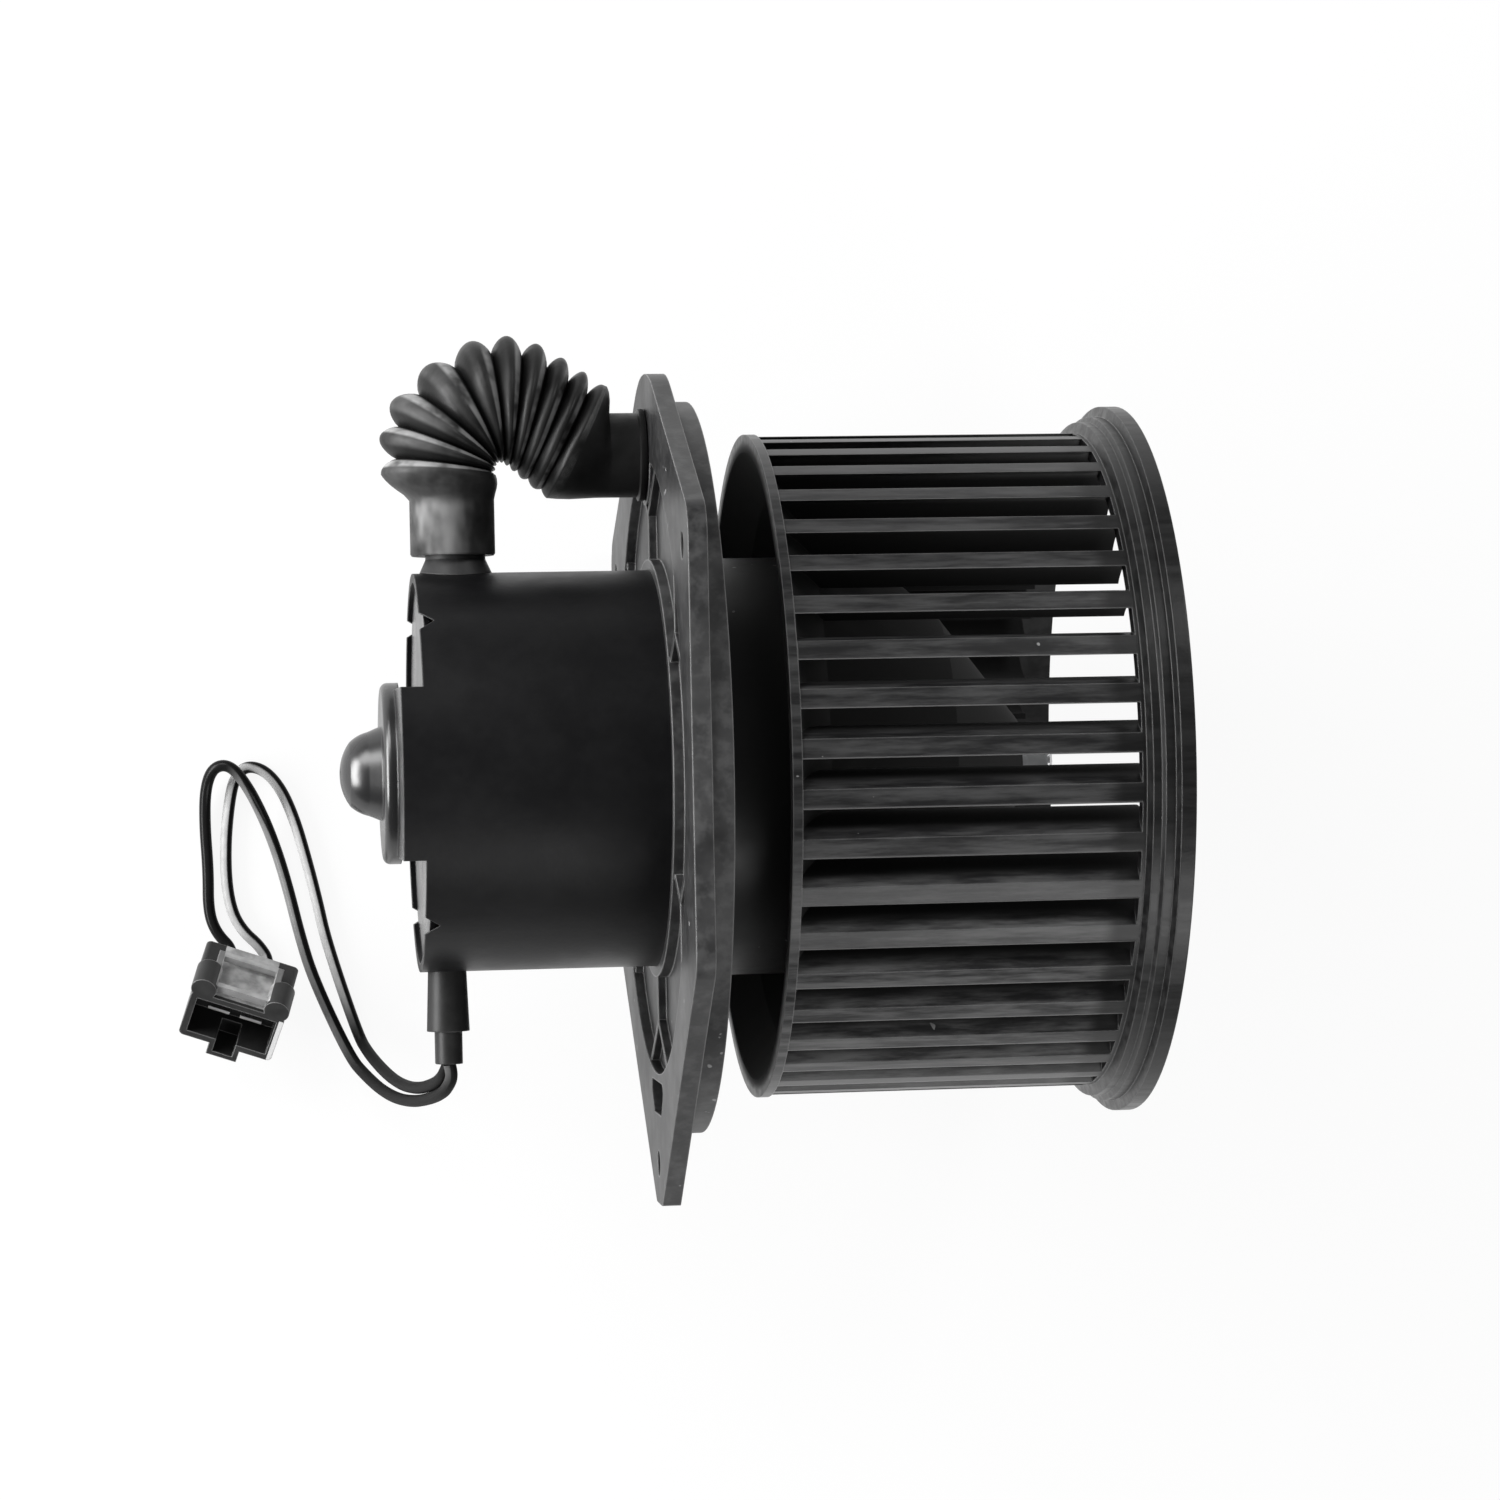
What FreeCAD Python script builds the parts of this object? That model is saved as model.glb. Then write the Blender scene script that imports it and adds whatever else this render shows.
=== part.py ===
import FreeCAD, Part
import math
import os

# Car cabin blower motor, lying on its side.
# X runs along the motor shaft, from the bearing dome at the tail to the open inlet of the fan.
# Y points to the side that carries the cooling hose, and Z points up from the floor it lies on.
# The origin is on the shaft axis, at the fan side face of the mounting flange. Units are mm.

V = FreeCAD.Vector
os.makedirs("parts", exist_ok=True)

# Motor can and the stamped end plate that closes its tail
can_r = 41.75
can_wall = 1.8
can_front_x = 26.0
can_rim_x = -53.4
lug_x = -57.9
lug_width = 35.0
notch_depth = 3.0
notch_width = 4.6
notch_y = 31.0
end_plate_inset = 1.0
end_plate_t = 1.4
boss_r = 19.0
boss_height = 2.7
boss_edge_r = 1.5
dome_root_r = 10.2
dome_r = 8.6
dome_height = 8.7

# Shaft and its two sintered bushes
shaft_r = 4.0
shaft_thread_r = 2.9
shaft_tail_x = -65.6
running_gap = 0.04
slip_gap = 0.05
bush_r = 7.0
bush_length = 8.0
rear_bush_x = -62.4
front_boss_length = 8.0
felt_t = 1.6
washer_t = 0.8
retainer_r = 12.0
retainer_grip = 0.8
spacer_r = 5.6

# Armature, windings and commutator
core_r = 29.5
core_x = -22.0
core_length = 38.0
slot_count = 12
slot_mouth = 2.4
slot_width = 6.0
slot_bottom_r = 14.0
slot_land = 2.6
winding_overhang = 7.0
commutator_r = 12.5
commutator_hub_r = 7.5
commutator_x = -49.0
commutator_length = 14.0
riser_r = 14.5
riser_t = 2.0
bar_gap = 0.7

# Magnets and the clips that spread them
air_gap = 0.8
magnet_x = -25.0
magnet_length = 45.0
magnet_span = 140.0
clip_t = 0.8
clip_leg = 6.0

# Brush gear
card_t = 1.5
card_bore_r = 16.0
card_gap = 0.3
brush_width = 8.0
brush_t = 6.0
brush_length = 14.0
brush_travel = 3.0
brush_side_gap = 0.1
holder_wall = 0.8
holder_reach = 19.0
spring_r = 2.2
spring_wire_r = 0.35
spring_turns = 5
choke_r = 3.6
choke_length = 11.0
choke_y = -27.0
choke_z = 9.0

# Mounting flange
plate_t = 3.9
web_t = 1.6
flat_z = 78.0
lobe_y = 83.0
lobe_half = 9.7
corner_y = 50.0
lower_corner_y = -39.0
tip_y = -92.0
tip_half = 5.5
lobe_round = 38.0
corner_round = 8.0
lower_round = 6.0
tip_round = 2.5
pocket_r = 64.5
collar_r = 44.0
collar_length = 28.4
collar_ring_t = 2.3
collar_ring_r = 31.0
step_r = 77.0
step_wall = 3.8
step_length = 4.4
rib_t = 1.2
rib_fork_r = 53.5
rib_fork_half = 15.0
rib_drop = 0.5
upper_screw_y = 43.6
upper_screw_z = 67.7
lower_screw_y = -83.5
screw_hole_r = 2.75
tip_pocket_y = -69.5

# Screws that hold the can in the flange collar
motor_screw_pcd = 72.0
motor_screw_r = 1.9
motor_screw_head_r = 3.6
motor_screw_head_t = 2.4
motor_screw_count = 3
vent_r = 3.8
vent_pcd = 49.0
vent_count = 6

# Cooling air path: neck on the can, corrugated hose, port on the flange
neck_x = -44.2
neck_r = 6.3
neck_wall = 1.2
neck_top_y = 56.0
neck_skirt_r = 9.4
neck_skirt_y = 44.6
port_y = 66.1
port_r = 6.6
port_wall = 1.3
port_reach = 8.2
cuff_r = 8.9
cuff_shift = -0.5
cuff_lip_r = 9.7
cuff_lip = 1.3
cuff_foot_y = 45.4
cuff_top_y = 57.6
hose_wall = 1.3
groove_depth = 2.3
hose_ring_count = 10
hose_outer_guide = {0: V(-59.4, 62.7, 0), 2: V(-56.9, 77.9, 0), 4: V(-40.5, 90.3, 0), 7: V(-20.6, 86.6, 0),
                    9: V(-12.3, 80.9, 0)}
hose_inner_guide = {0: V(-35.6, 62.2, 0), 3: V(-34.7, 64.9, 0), 5: V(-33.0, 64.3, 0), 7: V(-30.0, 61.6, 0),
                    9: V(-24.7, 57.3, 0)}
hose_shoulder = 2.2

# Fan wheel
fan_back_x = 16.7
fan_ring_t = 2.0
fan_ring_rise = 0.5
fan_ring_width = 3.7
blade_count = 44
blade_outer_r = 69.5
blade_depth = 12.5
blade_overrun = 1.5
blade_rim_lean = 61.52
blade_inner_lean = -10.0
blade_outer_t = 3.0
blade_inner_t = 1.3
blade_phase = 1.7
blade_end_x = 87.8
dome_wall = 2.2
dome_shoulder_x = 23.5
dome_overlap = 0.5
dome_mid_x = 53.7
dome_mid_r = 32.0
hub_r = 9.3
hub_end_x = 74.2
hub_start_x = 46.0
inlet_rise = 5.57
inlet_end_x = 96.1
inlet_flange_t = 3.0
inlet_bore_inset = 3.0
inlet_mouth_rise = 2.0
inlet_step_rise = 2.3
inlet_groove_rise = 3.4

# Nut and washer at the end of the shaft
nut_across_flats = 10.0
nut_t = 5.0
fan_washer_r = 8.0
fan_washer_t = 1.2

# Lead boot, wires and connector
boot_x = -47.7
boot_r = 4.05
boot_flare_r = 4.5
boot_body_y = -54.2
boot_tail_y = -61.0
boot_tail_half = 2.85
boot_flange_r = 5.6
boot_flange_t = 1.3
wire_r = 1.32
wire_pitch = 2.9
wire_lie_z = -76.65
connector_width = 21.5
connector_height = 13.5
connector_length = 17.5
connector_wall = 1.6
connector_turn = -19.0
connector_tilt = 50.0
connector_front = V(-92.7, -55.75, 0)
cavity_depth = 9.0
connector_boss_r = 2.85
latch_width = 15.0
latch_length = 11.7
latch_t = 1.6
latch_bar = 1.5
latch_gap = 1.2
keyway_width = 7.0
keyway_drop = 3.4
keyway_length = 8.0
terminal_width = 5.0
terminal_t = 0.8
terminal_reach = 5.2
terminal_pitch = 7.4
wire_seat = 4.2
wire_seat_up = 1.5
connector_lead_in = 4.8

# Sizes that follow from the ones above
can_bore_r = can_r - can_wall
floor_z = -flat_z
end_plate_x = can_rim_x + end_plate_inset
boss_x = lug_x - boss_height
dome_x = boss_x - dome_height
card_x = end_plate_x + end_plate_t + card_gap
brush_x = commutator_x + commutator_length / 2 - 0.5
magnet_bore_r = core_r + air_gap
front_boss_r = bush_r + slip_gap
front_bush_x = can_front_x + front_boss_length - can_wall - bush_length / 2 - felt_t
front_wall_x = can_front_x - can_wall
boss_inner_x = boss_x + end_plate_t
nut_x = hub_end_x + fan_washer_t
shaft_end_x = nut_x + nut_t + 1.5
core_end_x = core_x + core_length
blade_inner_r = blade_outer_r - blade_depth
blade_lean_span = math.sin(math.radians(blade_rim_lean)) - math.sin(math.radians(blade_inner_lean))
blade_curve_r = (blade_depth + blade_overrun) / blade_lean_span
fan_r = blade_outer_r + fan_ring_rise
fan_ring_inner_r = fan_r - fan_ring_width
dome_shoulder_r = blade_inner_r + dome_overlap
inlet_r = blade_outer_r + inlet_rise
inlet_bore_r = blade_outer_r - inlet_bore_inset
inlet_mouth_r = blade_outer_r + inlet_mouth_rise
inlet_step_r = blade_outer_r + inlet_step_rise
inlet_groove_r = blade_outer_r + inlet_groove_rise


# Shapes that are used again and again

def cylinder(radius, x0, x1, y=0.0, z=0.0):
    """A solid cylinder along X from x0 to x1."""
    return Part.makeCylinder(radius, x1 - x0, V(x0, y, z), V(1, 0, 0))


def ring(r_out, r_in, x0, x1):
    """A plain ring or tube about the shaft axis."""
    return cylinder(r_out, x0, x1).cut(cylinder(r_in, x0 - 1, x1 + 1))


def box(x0, x1, y0, y1, z0, z1):
    """A box between two corners."""
    return Part.makeBox(x1 - x0, y1 - y0, z1 - z0, V(x0, y0, z0))


def turned(edges):
    """A solid turned about the shaft axis from a closed profile in the XY plane."""
    face = Part.Face(Part.Wire(edges))
    return face.revolve(V(0, 0, 0), V(1, 0, 0), 360)


def turned_polygon(points):
    """A turned solid whose profile has straight sides. Points are (x, radius)."""
    corners = [V(x, r, 0) for x, r in points]
    corners.append(corners[0])
    return turned(Part.makePolygon(corners).Edges)


def spin(shape, angle):
    """A copy turned about the shaft axis by an angle in degrees."""
    copy = shape.copy()
    copy.rotate(V(0, 0, 0), V(1, 0, 0), angle)
    return copy


def around(shape, count, start=0.0):
    """Copies of a shape spaced evenly about the shaft axis."""
    return [spin(shape, start + 360.0 * i / count) for i in range(count)]


def sector(r_out, r_in, x0, x1, span, middle):
    """Part of a ring that spans an angle about a middle direction, measured from +Z towards -Y."""
    whole = turned_part(r_out, r_in, x0, x1, span)
    return spin(whole, middle - span / 2)


def turned_part(r_out, r_in, x0, x1, span):
    """A ring section that starts at +Z and turns by an angle about the shaft axis."""
    corners = [V(x0, 0, r_in), V(x1, 0, r_in), V(x1, 0, r_out), V(x0, 0, r_out), V(x0, 0, r_in)]
    return Part.Face(Part.makePolygon(corners)).revolve(V(0, 0, 0), V(1, 0, 0), span)


def rounded_edges(points, radii, closed):
    """Straight runs through the points, joined by tangent arcs of the given radii."""
    count = len(points)
    last = count if closed else count - 1
    starts = list(points)
    ends = list(points)
    arcs = {}
    for i in range(count):
        if not closed and i in (0, count - 1):
            continue
        here = points[i]
        to_before = (points[i - 1] - here).normalize()
        to_after = (points[(i + 1) % count] - here).normalize()
        turn = math.pi - to_before.getAngle(to_after)
        setback = radii[i] * math.tan(turn / 2)
        bisector = (to_before + to_after).normalize()
        middle = here + bisector * (radii[i] * (1 / math.cos(turn / 2) - 1))
        ends[i] = here + to_before * setback
        starts[i] = here + to_after * setback
        arcs[i] = Part.Arc(ends[i], middle, starts[i]).toShape()
    edges = []
    for i in range(last):
        if i in arcs and (closed or i > 0):
            edges.append(arcs[i])
        after = (i + 1) % count
        edges.append(Part.LineSegment(starts[i], ends[after]).toShape())
    return edges


def export(name, shape):
    """Write one sub-part."""
    shape.exportStep("parts/" + name + ".step")
    print(name, len(shape.Solids), round(shape.Volume, 1), shape.isValid())


# Motor can

def front_wall_holes():
    """Screw holes and cooling vents in the front wall of the can."""
    screw = cylinder(motor_screw_r + slip_gap, can_front_x - can_wall - 1, can_front_x + 1, motor_screw_pcd / 2)
    vent = cylinder(vent_r, can_front_x - can_wall - 1, can_front_x + 1, vent_pcd / 2)
    return around(screw, motor_screw_count, 180.0) + around(vent, vent_count, 30.0)


def rim_notch(sign_y, sign_z):
    """A V shaped stake notch in the tail rim of the can."""
    reach = can_r + 2
    y = sign_y * notch_y
    corners = [V(can_rim_x - 1, y - notch_width / 2, 0), V(can_rim_x + notch_depth, y, 0),
               V(can_rim_x - 1, y + notch_width / 2, 0), V(can_rim_x - 1, y - notch_width / 2, 0)]
    return Part.Face(Part.makePolygon(corners)).extrude(V(0, 0, sign_z * reach))


def motor_can():
    """Drawn steel can: side wall, front wall and the boss that holds the front bush."""
    boss_x1 = can_front_x + front_boss_length
    boss_out = front_boss_r + can_wall
    body = turned_polygon([
        (lug_x, can_bore_r), (can_front_x - can_wall, can_bore_r), (can_front_x - can_wall, front_boss_r),
        (boss_x1 - can_wall, front_boss_r), (boss_x1 - can_wall, shaft_r + 0.8), (boss_x1, shaft_r + 0.8),
        (boss_x1, boss_out), (can_front_x, boss_out), (can_front_x, can_r), (lug_x, can_r)])
    over = can_r + 1
    half = lug_width / 2
    tools = [box(lug_x - 1, can_rim_x, half, over, -over, over),
             box(lug_x - 1, can_rim_x, -over, -half, -over, over)]
    tools += [rim_notch(sy, sz) for sy in (-1, 1) for sz in (-1, 1)]
    tools += front_wall_holes()
    tools.append(Part.makeCylinder(neck_r + slip_gap, can_r, V(neck_x, 0, 0), V(0, 1, 0)))
    tools.append(Part.makeCylinder(boot_r + slip_gap, can_r + 1, V(boot_x, 0, 0), V(0, -1, 0)))
    return body.cut(tools)


# Stamped end plate with its bridge, boss and bearing dome

def dome_solid(offset, x_root):
    """The bell shaped bearing dome. The offset moves its surface inwards for the inner face."""
    tip = V(dome_x + offset, 0, 0)
    cheek_r = dome_r * 0.78 - offset
    cheek = V(dome_x + dome_height * 0.24 + offset * 0.4, cheek_r, 0)
    crown = V(dome_x + dome_height * 0.06 + offset, dome_r * 0.42 - offset * 0.3, 0)
    waist = V(dome_x + dome_height * 0.68, dome_r + 0.2 - offset, 0)
    side = V(dome_x + dome_height * 0.44, dome_r * 0.93 - offset, 0)
    foot = V(x_root, dome_root_r - offset, 0)
    axis_end = V(x_root, 0, 0)
    edges = [Part.Arc(tip, crown, cheek).toShape(), Part.Arc(cheek, side, waist).toShape(),
             Part.LineSegment(waist, foot).toShape(), Part.LineSegment(foot, axis_end).toShape(),
             Part.LineSegment(axis_end, tip).toShape()]
    return turned(edges)


def bridge_solid(inset, x_back):
    """The raised band across the plate, trimmed to the round of the can bore."""
    half = lug_width / 2 - inset
    reach = can_bore_r
    band = box(lug_x + inset, x_back, -half, half, -reach, reach)
    return band.common(cylinder(can_bore_r - slip_gap - inset, lug_x - 1, x_back + 1))


def end_plate():
    """The stamping that closes the tail of the can and carries the rear bush."""
    inner_x = end_plate_x + end_plate_t
    disc = cylinder(can_bore_r - slip_gap, end_plate_x, inner_x)
    boss = cylinder(boss_r, boss_x, lug_x + 1)
    rim = [e for e in boss.Edges if abs(e.BoundBox.XMin - boss_x) < 0.01 and e.BoundBox.XLength < 0.01]
    boss = boss.makeFillet(boss_edge_r, rim)
    outside = disc.fuse([bridge_solid(0.0, inner_x), boss, dome_solid(0.0, boss_x + 0.5)])
    boss_void = cylinder(boss_r - end_plate_t, boss_x + end_plate_t, inner_x + 1)
    dome_void = dome_solid(end_plate_t, boss_x + end_plate_t + 0.5)
    return outside.cut([bridge_solid(end_plate_t, inner_x + 1), boss_void, dome_void]).removeSplitter()


# Bearings

def bush(x_middle):
    """A barrel shaped sintered bush."""
    half = bush_length / 2
    bore = shaft_r + running_gap
    end_r = bush_r - 1.3
    start = V(x_middle - half, bore, 0)
    a = V(x_middle - half, end_r, 0)
    top = V(x_middle, bush_r, 0)
    b = V(x_middle + half, end_r, 0)
    end = V(x_middle + half, bore, 0)
    edges = [Part.LineSegment(start, a).toShape(), Part.Arc(a, top, b).toShape(),
             Part.LineSegment(b, end).toShape(), Part.LineSegment(end, start).toShape()]
    return turned(edges)


def bush_curve_r(distance):
    """Radius of the barrel shaped bush at a distance from its middle."""
    half = bush_length / 2
    drop = 1.3
    arc_r = (half ** 2 + drop ** 2) / (2 * drop)
    return math.sqrt(arc_r ** 2 - distance ** 2) + bush_r - arc_r


def bush_retainer(x0, x_bush):
    """A star washer that rests on the housing and grips the shoulder of the bush."""
    near = min(abs(x0 - x_bush), abs(x0 + washer_t - x_bush))
    grip = bush_curve_r(near) + running_gap / 2
    slot = box(x0 - 1, x0 + washer_t + 1, -retainer_grip, retainer_grip, 0, retainer_r - 2.5)
    return ring(retainer_r, grip, x0, x0 + washer_t).cut(around(slot, 6))


def oil_felt():
    """Felt ring that feeds oil to the front bush, between the bush and the end of its boss."""
    x1 = can_front_x + front_boss_length - can_wall
    return ring(bush_r, shaft_r + 0.3, x1 - felt_t, x1)


def spacer(x0, x1):
    """Tube pressed on the shaft that takes the end thrust."""
    return ring(spacer_r, shaft_r + running_gap / 2, x0, x1)


# Shaft, armature and commutator

def shaft():
    """Ground steel shaft with a threaded nose and small chamfers."""
    c = 0.6
    neck = shaft_end_x - nut_t - fan_washer_t - 2.0
    return turned_polygon([
        (shaft_tail_x, 0), (shaft_tail_x, shaft_r - c), (shaft_tail_x + c, shaft_r), (neck, shaft_r),
        (neck, shaft_thread_r), (shaft_end_x - c, shaft_thread_r), (shaft_end_x, shaft_thread_r - c),
        (shaft_end_x, 0)])


def slot_void(trim, x0, x1):
    """The room in one armature slot, between the slot bottom and the tooth tips."""
    half = slot_width / 2 - trim
    top = core_r - slot_land - trim
    return box(x0, x1, -half, half, slot_bottom_r + trim, top)


def armature_core():
    """Stack of slotted steel laminations, pressed on the shaft."""
    body = ring(core_r, shaft_r + running_gap / 2, core_x, core_end_x)
    mouth = box(core_x - 1, core_end_x + 1, -slot_mouth / 2, slot_mouth / 2, core_r - slot_land - 1, core_r + 1)
    slot = slot_void(0.0, core_x - 1, core_end_x + 1).fuse(mouth)
    return body.cut(around(slot, slot_count))


def armature_windings():
    """Copper coils: one filled leg in each slot and a round bundle at each end of the core."""
    gap = 0.1
    legs = around(slot_void(0.15, core_x - 2, core_end_x + 2), slot_count)
    outer = core_r - slot_land - 0.5
    inner = slot_bottom_r - 1.0
    bundles = []
    for x_face, sign in ((core_x - gap, -1), (core_end_x + gap, 1)):
        reach = x_face + sign * winding_overhang
        bundles.append(turned_polygon([
            (x_face, inner), (x_face, outer), (x_face + sign * winding_overhang * 0.55, outer),
            (reach, outer - 4.0), (reach, inner + 2.0), (x_face + sign * winding_overhang * 0.7, inner)]))
    return bundles[0].fuse(bundles[1:] + legs).removeSplitter()


def commutator_hub():
    """Moulded hub that holds the copper bars on the shaft."""
    end = commutator_x + commutator_length + riser_t
    return ring(commutator_hub_r, shaft_r + running_gap / 2, commutator_x - 1.0, end + 1.0)


def commutator_bars():
    """Copper bars with a riser hook at the winding end, one for each slot."""
    pitch = 360.0 / slot_count
    gap_angle = math.degrees(bar_gap / commutator_r)
    span = pitch - gap_angle
    x1 = commutator_x + commutator_length
    track = turned_part(commutator_r, commutator_hub_r, commutator_x, x1, span)
    riser = turned_part(riser_r, commutator_hub_r, x1, x1 + riser_t, span)
    bar = track.fuse(riser).removeSplitter()
    return Part.makeCompound(around(bar, slot_count))


def thrust_washer(x0):
    """Fibre washer that takes the end play of the shaft."""
    return ring(bush_r, shaft_r + running_gap, x0, x0 + washer_t)


# Magnets and their clips

def magnet(middle):
    """Ferrite arc magnet against the bore of the can."""
    return sector(can_bore_r - slip_gap, magnet_bore_r, magnet_x, magnet_x + magnet_length, magnet_span, middle)


def magnet_clip(middle):
    """Spring clip that spreads the two magnets, a channel with its back on the can."""
    gap_angle = 180.0 - magnet_span
    outer = can_bore_r - slip_gap
    margin = math.degrees(0.15 / outer)
    leg_angle = math.degrees(clip_t / outer)
    x0 = magnet_x + 4.0
    x1 = magnet_x + magnet_length - 4.0
    whole = sector(outer, outer - clip_leg, x0, x1, gap_angle - 2 * margin, middle)
    hollow = sector(outer - clip_t, outer - clip_leg - 1, x0 - 1, x1 + 1, gap_angle - 2 * leg_angle, middle)
    return whole.cut(hollow)


# Brush gear. The brushes lie along Z, one above the shaft and one below.

def brush_card():
    """Insulating card behind the commutator that carries the brush holders."""
    x1 = card_x + card_t
    plate = ring(can_bore_r - 0.4, card_bore_r, card_x, x1)
    neck_gap = box(card_x - 1, x1 + 1, can_bore_r - 9.0, can_bore_r + 1, -8.0, 8.0)
    boot_gap = box(card_x - 1, x1 + 1, -can_bore_r - 1, -can_bore_r + 8.0, -7.0, 7.0)
    return plate.cut([neck_gap, boot_gap])


def brush_holder(sign):
    """Brass box that guides one brush, open at the commutator and closed behind the spring."""
    side = brush_side_gap + holder_wall
    low = commutator_r + 4.0
    high = low + holder_reach
    x0 = brush_x - brush_width / 2 - side
    x1 = brush_x + brush_width / 2 + side
    half = brush_t / 2 + side
    outer = box(x0, x1, -half, half, low, high)
    inner = box(x0 + holder_wall, x1 - holder_wall, -half + holder_wall, half - holder_wall,
                low - 1, high - holder_wall)
    foot = box(card_x + card_t, x0, -half, half, low, low + holder_reach * 0.6)
    shape = outer.cut(inner).fuse(foot).removeSplitter()
    return shape if sign > 0 else spin(shape, 180)


def brush(sign):
    """Carbon brush with its face cut to the round of the commutator."""
    low = commutator_r + running_gap
    block = box(brush_x - brush_width / 2, brush_x + brush_width / 2, -brush_t / 2, brush_t / 2,
                commutator_r - 2, low + brush_length - brush_t * 0.1)
    shape = block.cut(cylinder(low, brush_x - brush_width, brush_x + brush_width))
    return shape if sign > 0 else spin(shape, 180)


def brush_spring(sign):
    """Coil spring between the back of the brush and the end of its holder."""
    z0 = commutator_r + running_gap + brush_length - brush_t * 0.1 + spring_wire_r
    z1 = commutator_r + 4.0 + holder_reach - holder_wall - spring_wire_r
    height = z1 - z0
    pitch = height / spring_turns
    helix = Part.makeHelix(pitch, height, spring_r)
    start = helix.Edges[0].valueAt(helix.Edges[0].FirstParameter)
    circle = Part.Circle(start, V(0, 1, 0), spring_wire_r).toShape()
    coil = Part.Wire(helix.Edges).makePipeShell([Part.Wire(circle)], True, True)
    coil.translate(V(brush_x, 0, z0))
    return coil if sign > 0 else spin(coil, 180)


def choke(y, z):
    """Choke coil wound on a ferrite rod, standing on the brush card."""
    x0 = card_x + card_t
    rod = cylinder(choke_r * 0.5, x0, x0 + choke_length + 1.5, y, z)
    coil = cylinder(choke_r, x0 + 0.8, x0 + choke_length, y, z)
    return rod.fuse(coil).removeSplitter()


# Flange

def flange_outline(x, inset=0.0):
    """Outline of the flange in a plane across the shaft: a lobe, two ears and a narrow tip."""
    right = [V(x, lobe_y - inset, lobe_half), V(x, corner_y, flat_z - inset),
             V(x, lower_corner_y, flat_z - inset), V(x, tip_y + inset, tip_half)]
    left = [V(p.x, p.y, -p.z) for p in reversed(right)]
    radii = [lobe_round, corner_round, lower_round, tip_round]
    return Part.Face(Part.Wire(rounded_edges(right + left, radii + radii[::-1], True)))


def y_rib(angle):
    """A Y shaped rib: a stem from the collar that forks out to the rim of the pocket."""
    x0 = -plate_t + rib_drop
    x1 = -web_t / 2
    stem = box(x0, x1, -rib_t / 2, rib_t / 2, collar_r - 0.5, rib_fork_r + rib_t / 2)
    half = math.radians(rib_fork_half)
    tip = V(0, (pocket_r + 1) * math.sin(half), (pocket_r + 1) * math.cos(half))
    root = V(0, 0, rib_fork_r)
    run = tip - root
    lean = math.degrees(math.atan2(run.y, run.z))
    arm = box(x0, x1, -rib_t / 2, rib_t / 2, 0, run.Length)
    arms = []
    for sign in (-1, 1):
        one = arm.copy()
        one.rotate(V(0, 0, 0), V(1, 0, 0), -sign * lean)
        one.translate(root)
        arms.append(one)
    return spin(stem.fuse(arms), angle)


def flange_pockets():
    """Pockets in the hose side face: a ring round the collar and a small one near the tip."""
    annulus = ring(pocket_r, collar_r - 0.2, -plate_t - 1, -web_t)
    half_top = 13.0
    half_low = 7.0
    top_y = -pocket_r - 1.6
    corners = [V(-plate_t - 1, top_y, half_top), V(-plate_t - 1, tip_pocket_y - 3.5, half_low),
               V(-plate_t - 1, tip_pocket_y - 3.5, -half_low), V(-plate_t - 1, top_y, -half_top)]
    edges = rounded_edges(corners, [1.5] * 4, True)
    tip = Part.Face(Part.Wire(edges)).extrude(V(plate_t + 1 - web_t, 0, 0))
    return [annulus, tip]


def flange():
    """Moulded flange: plate, collar for the motor, spigot step, ribs, port and screw holes."""
    plate = flange_outline(-plate_t).extrude(V(plate_t, 0, 0))
    plate = plate.cut(flange_pockets())
    collar = turned_polygon([
        (-plate_t, can_r + slip_gap), (can_front_x + slip_gap, can_r + slip_gap),
        (can_front_x + slip_gap, collar_ring_r), (can_front_x + slip_gap + collar_ring_t, collar_ring_r),
        (can_front_x + slip_gap + collar_ring_t, collar_r), (-plate_t, collar_r)])
    step = ring(step_r, step_r - step_wall, -web_t / 2, step_length)
    port_pad = cylinder(port_r + 4.0, -plate_t, 0, port_y)
    port_tube = cylinder(port_r, -plate_t - port_reach, 0, port_y)
    ribs = around_ribs()
    body = plate.fuse([collar, step, port_pad, port_tube] + ribs)
    tools = [cylinder(can_r + slip_gap, -plate_t - 1, can_front_x + slip_gap)]
    tools.append(cylinder(port_r - port_wall, -plate_t - port_reach - 1, 1, port_y))
    for y, z in ((upper_screw_y, upper_screw_z), (upper_screw_y, -upper_screw_z), (lower_screw_y, 0.0)):
        tools.append(cylinder(screw_hole_r, -plate_t - 1, 1, y, z))
    motor_screw = cylinder(motor_screw_r + slip_gap, can_front_x - 1, collar_length + 1, motor_screw_pcd / 2)
    tools += around(motor_screw, motor_screw_count, 180.0)
    return body.cut(tools).removeSplitter()


def around_ribs():
    """Six Y ribs round the collar. The first points to the hose side."""
    return [y_rib(-90.0 + 60.0 * i) for i in range(6)]


def motor_screws():
    """Pan head screws that clamp the can against the collar ring."""
    x_seat = can_front_x + slip_gap + collar_ring_t
    stem = cylinder(motor_screw_r, can_front_x - can_wall - 3.0, x_seat, motor_screw_pcd / 2)
    head = cylinder(motor_screw_head_r, x_seat, x_seat + motor_screw_head_t, motor_screw_pcd / 2)
    rim = [e for e in head.Edges if abs(e.BoundBox.XMin - x_seat - motor_screw_head_t) < 0.01]
    head = head.makeFillet(0.8, [e for e in rim if e.BoundBox.XLength < 0.01])
    screw = stem.fuse(head).removeSplitter()
    return Part.makeCompound(around(screw, motor_screw_count, 180.0))


# Cooling air path

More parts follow.
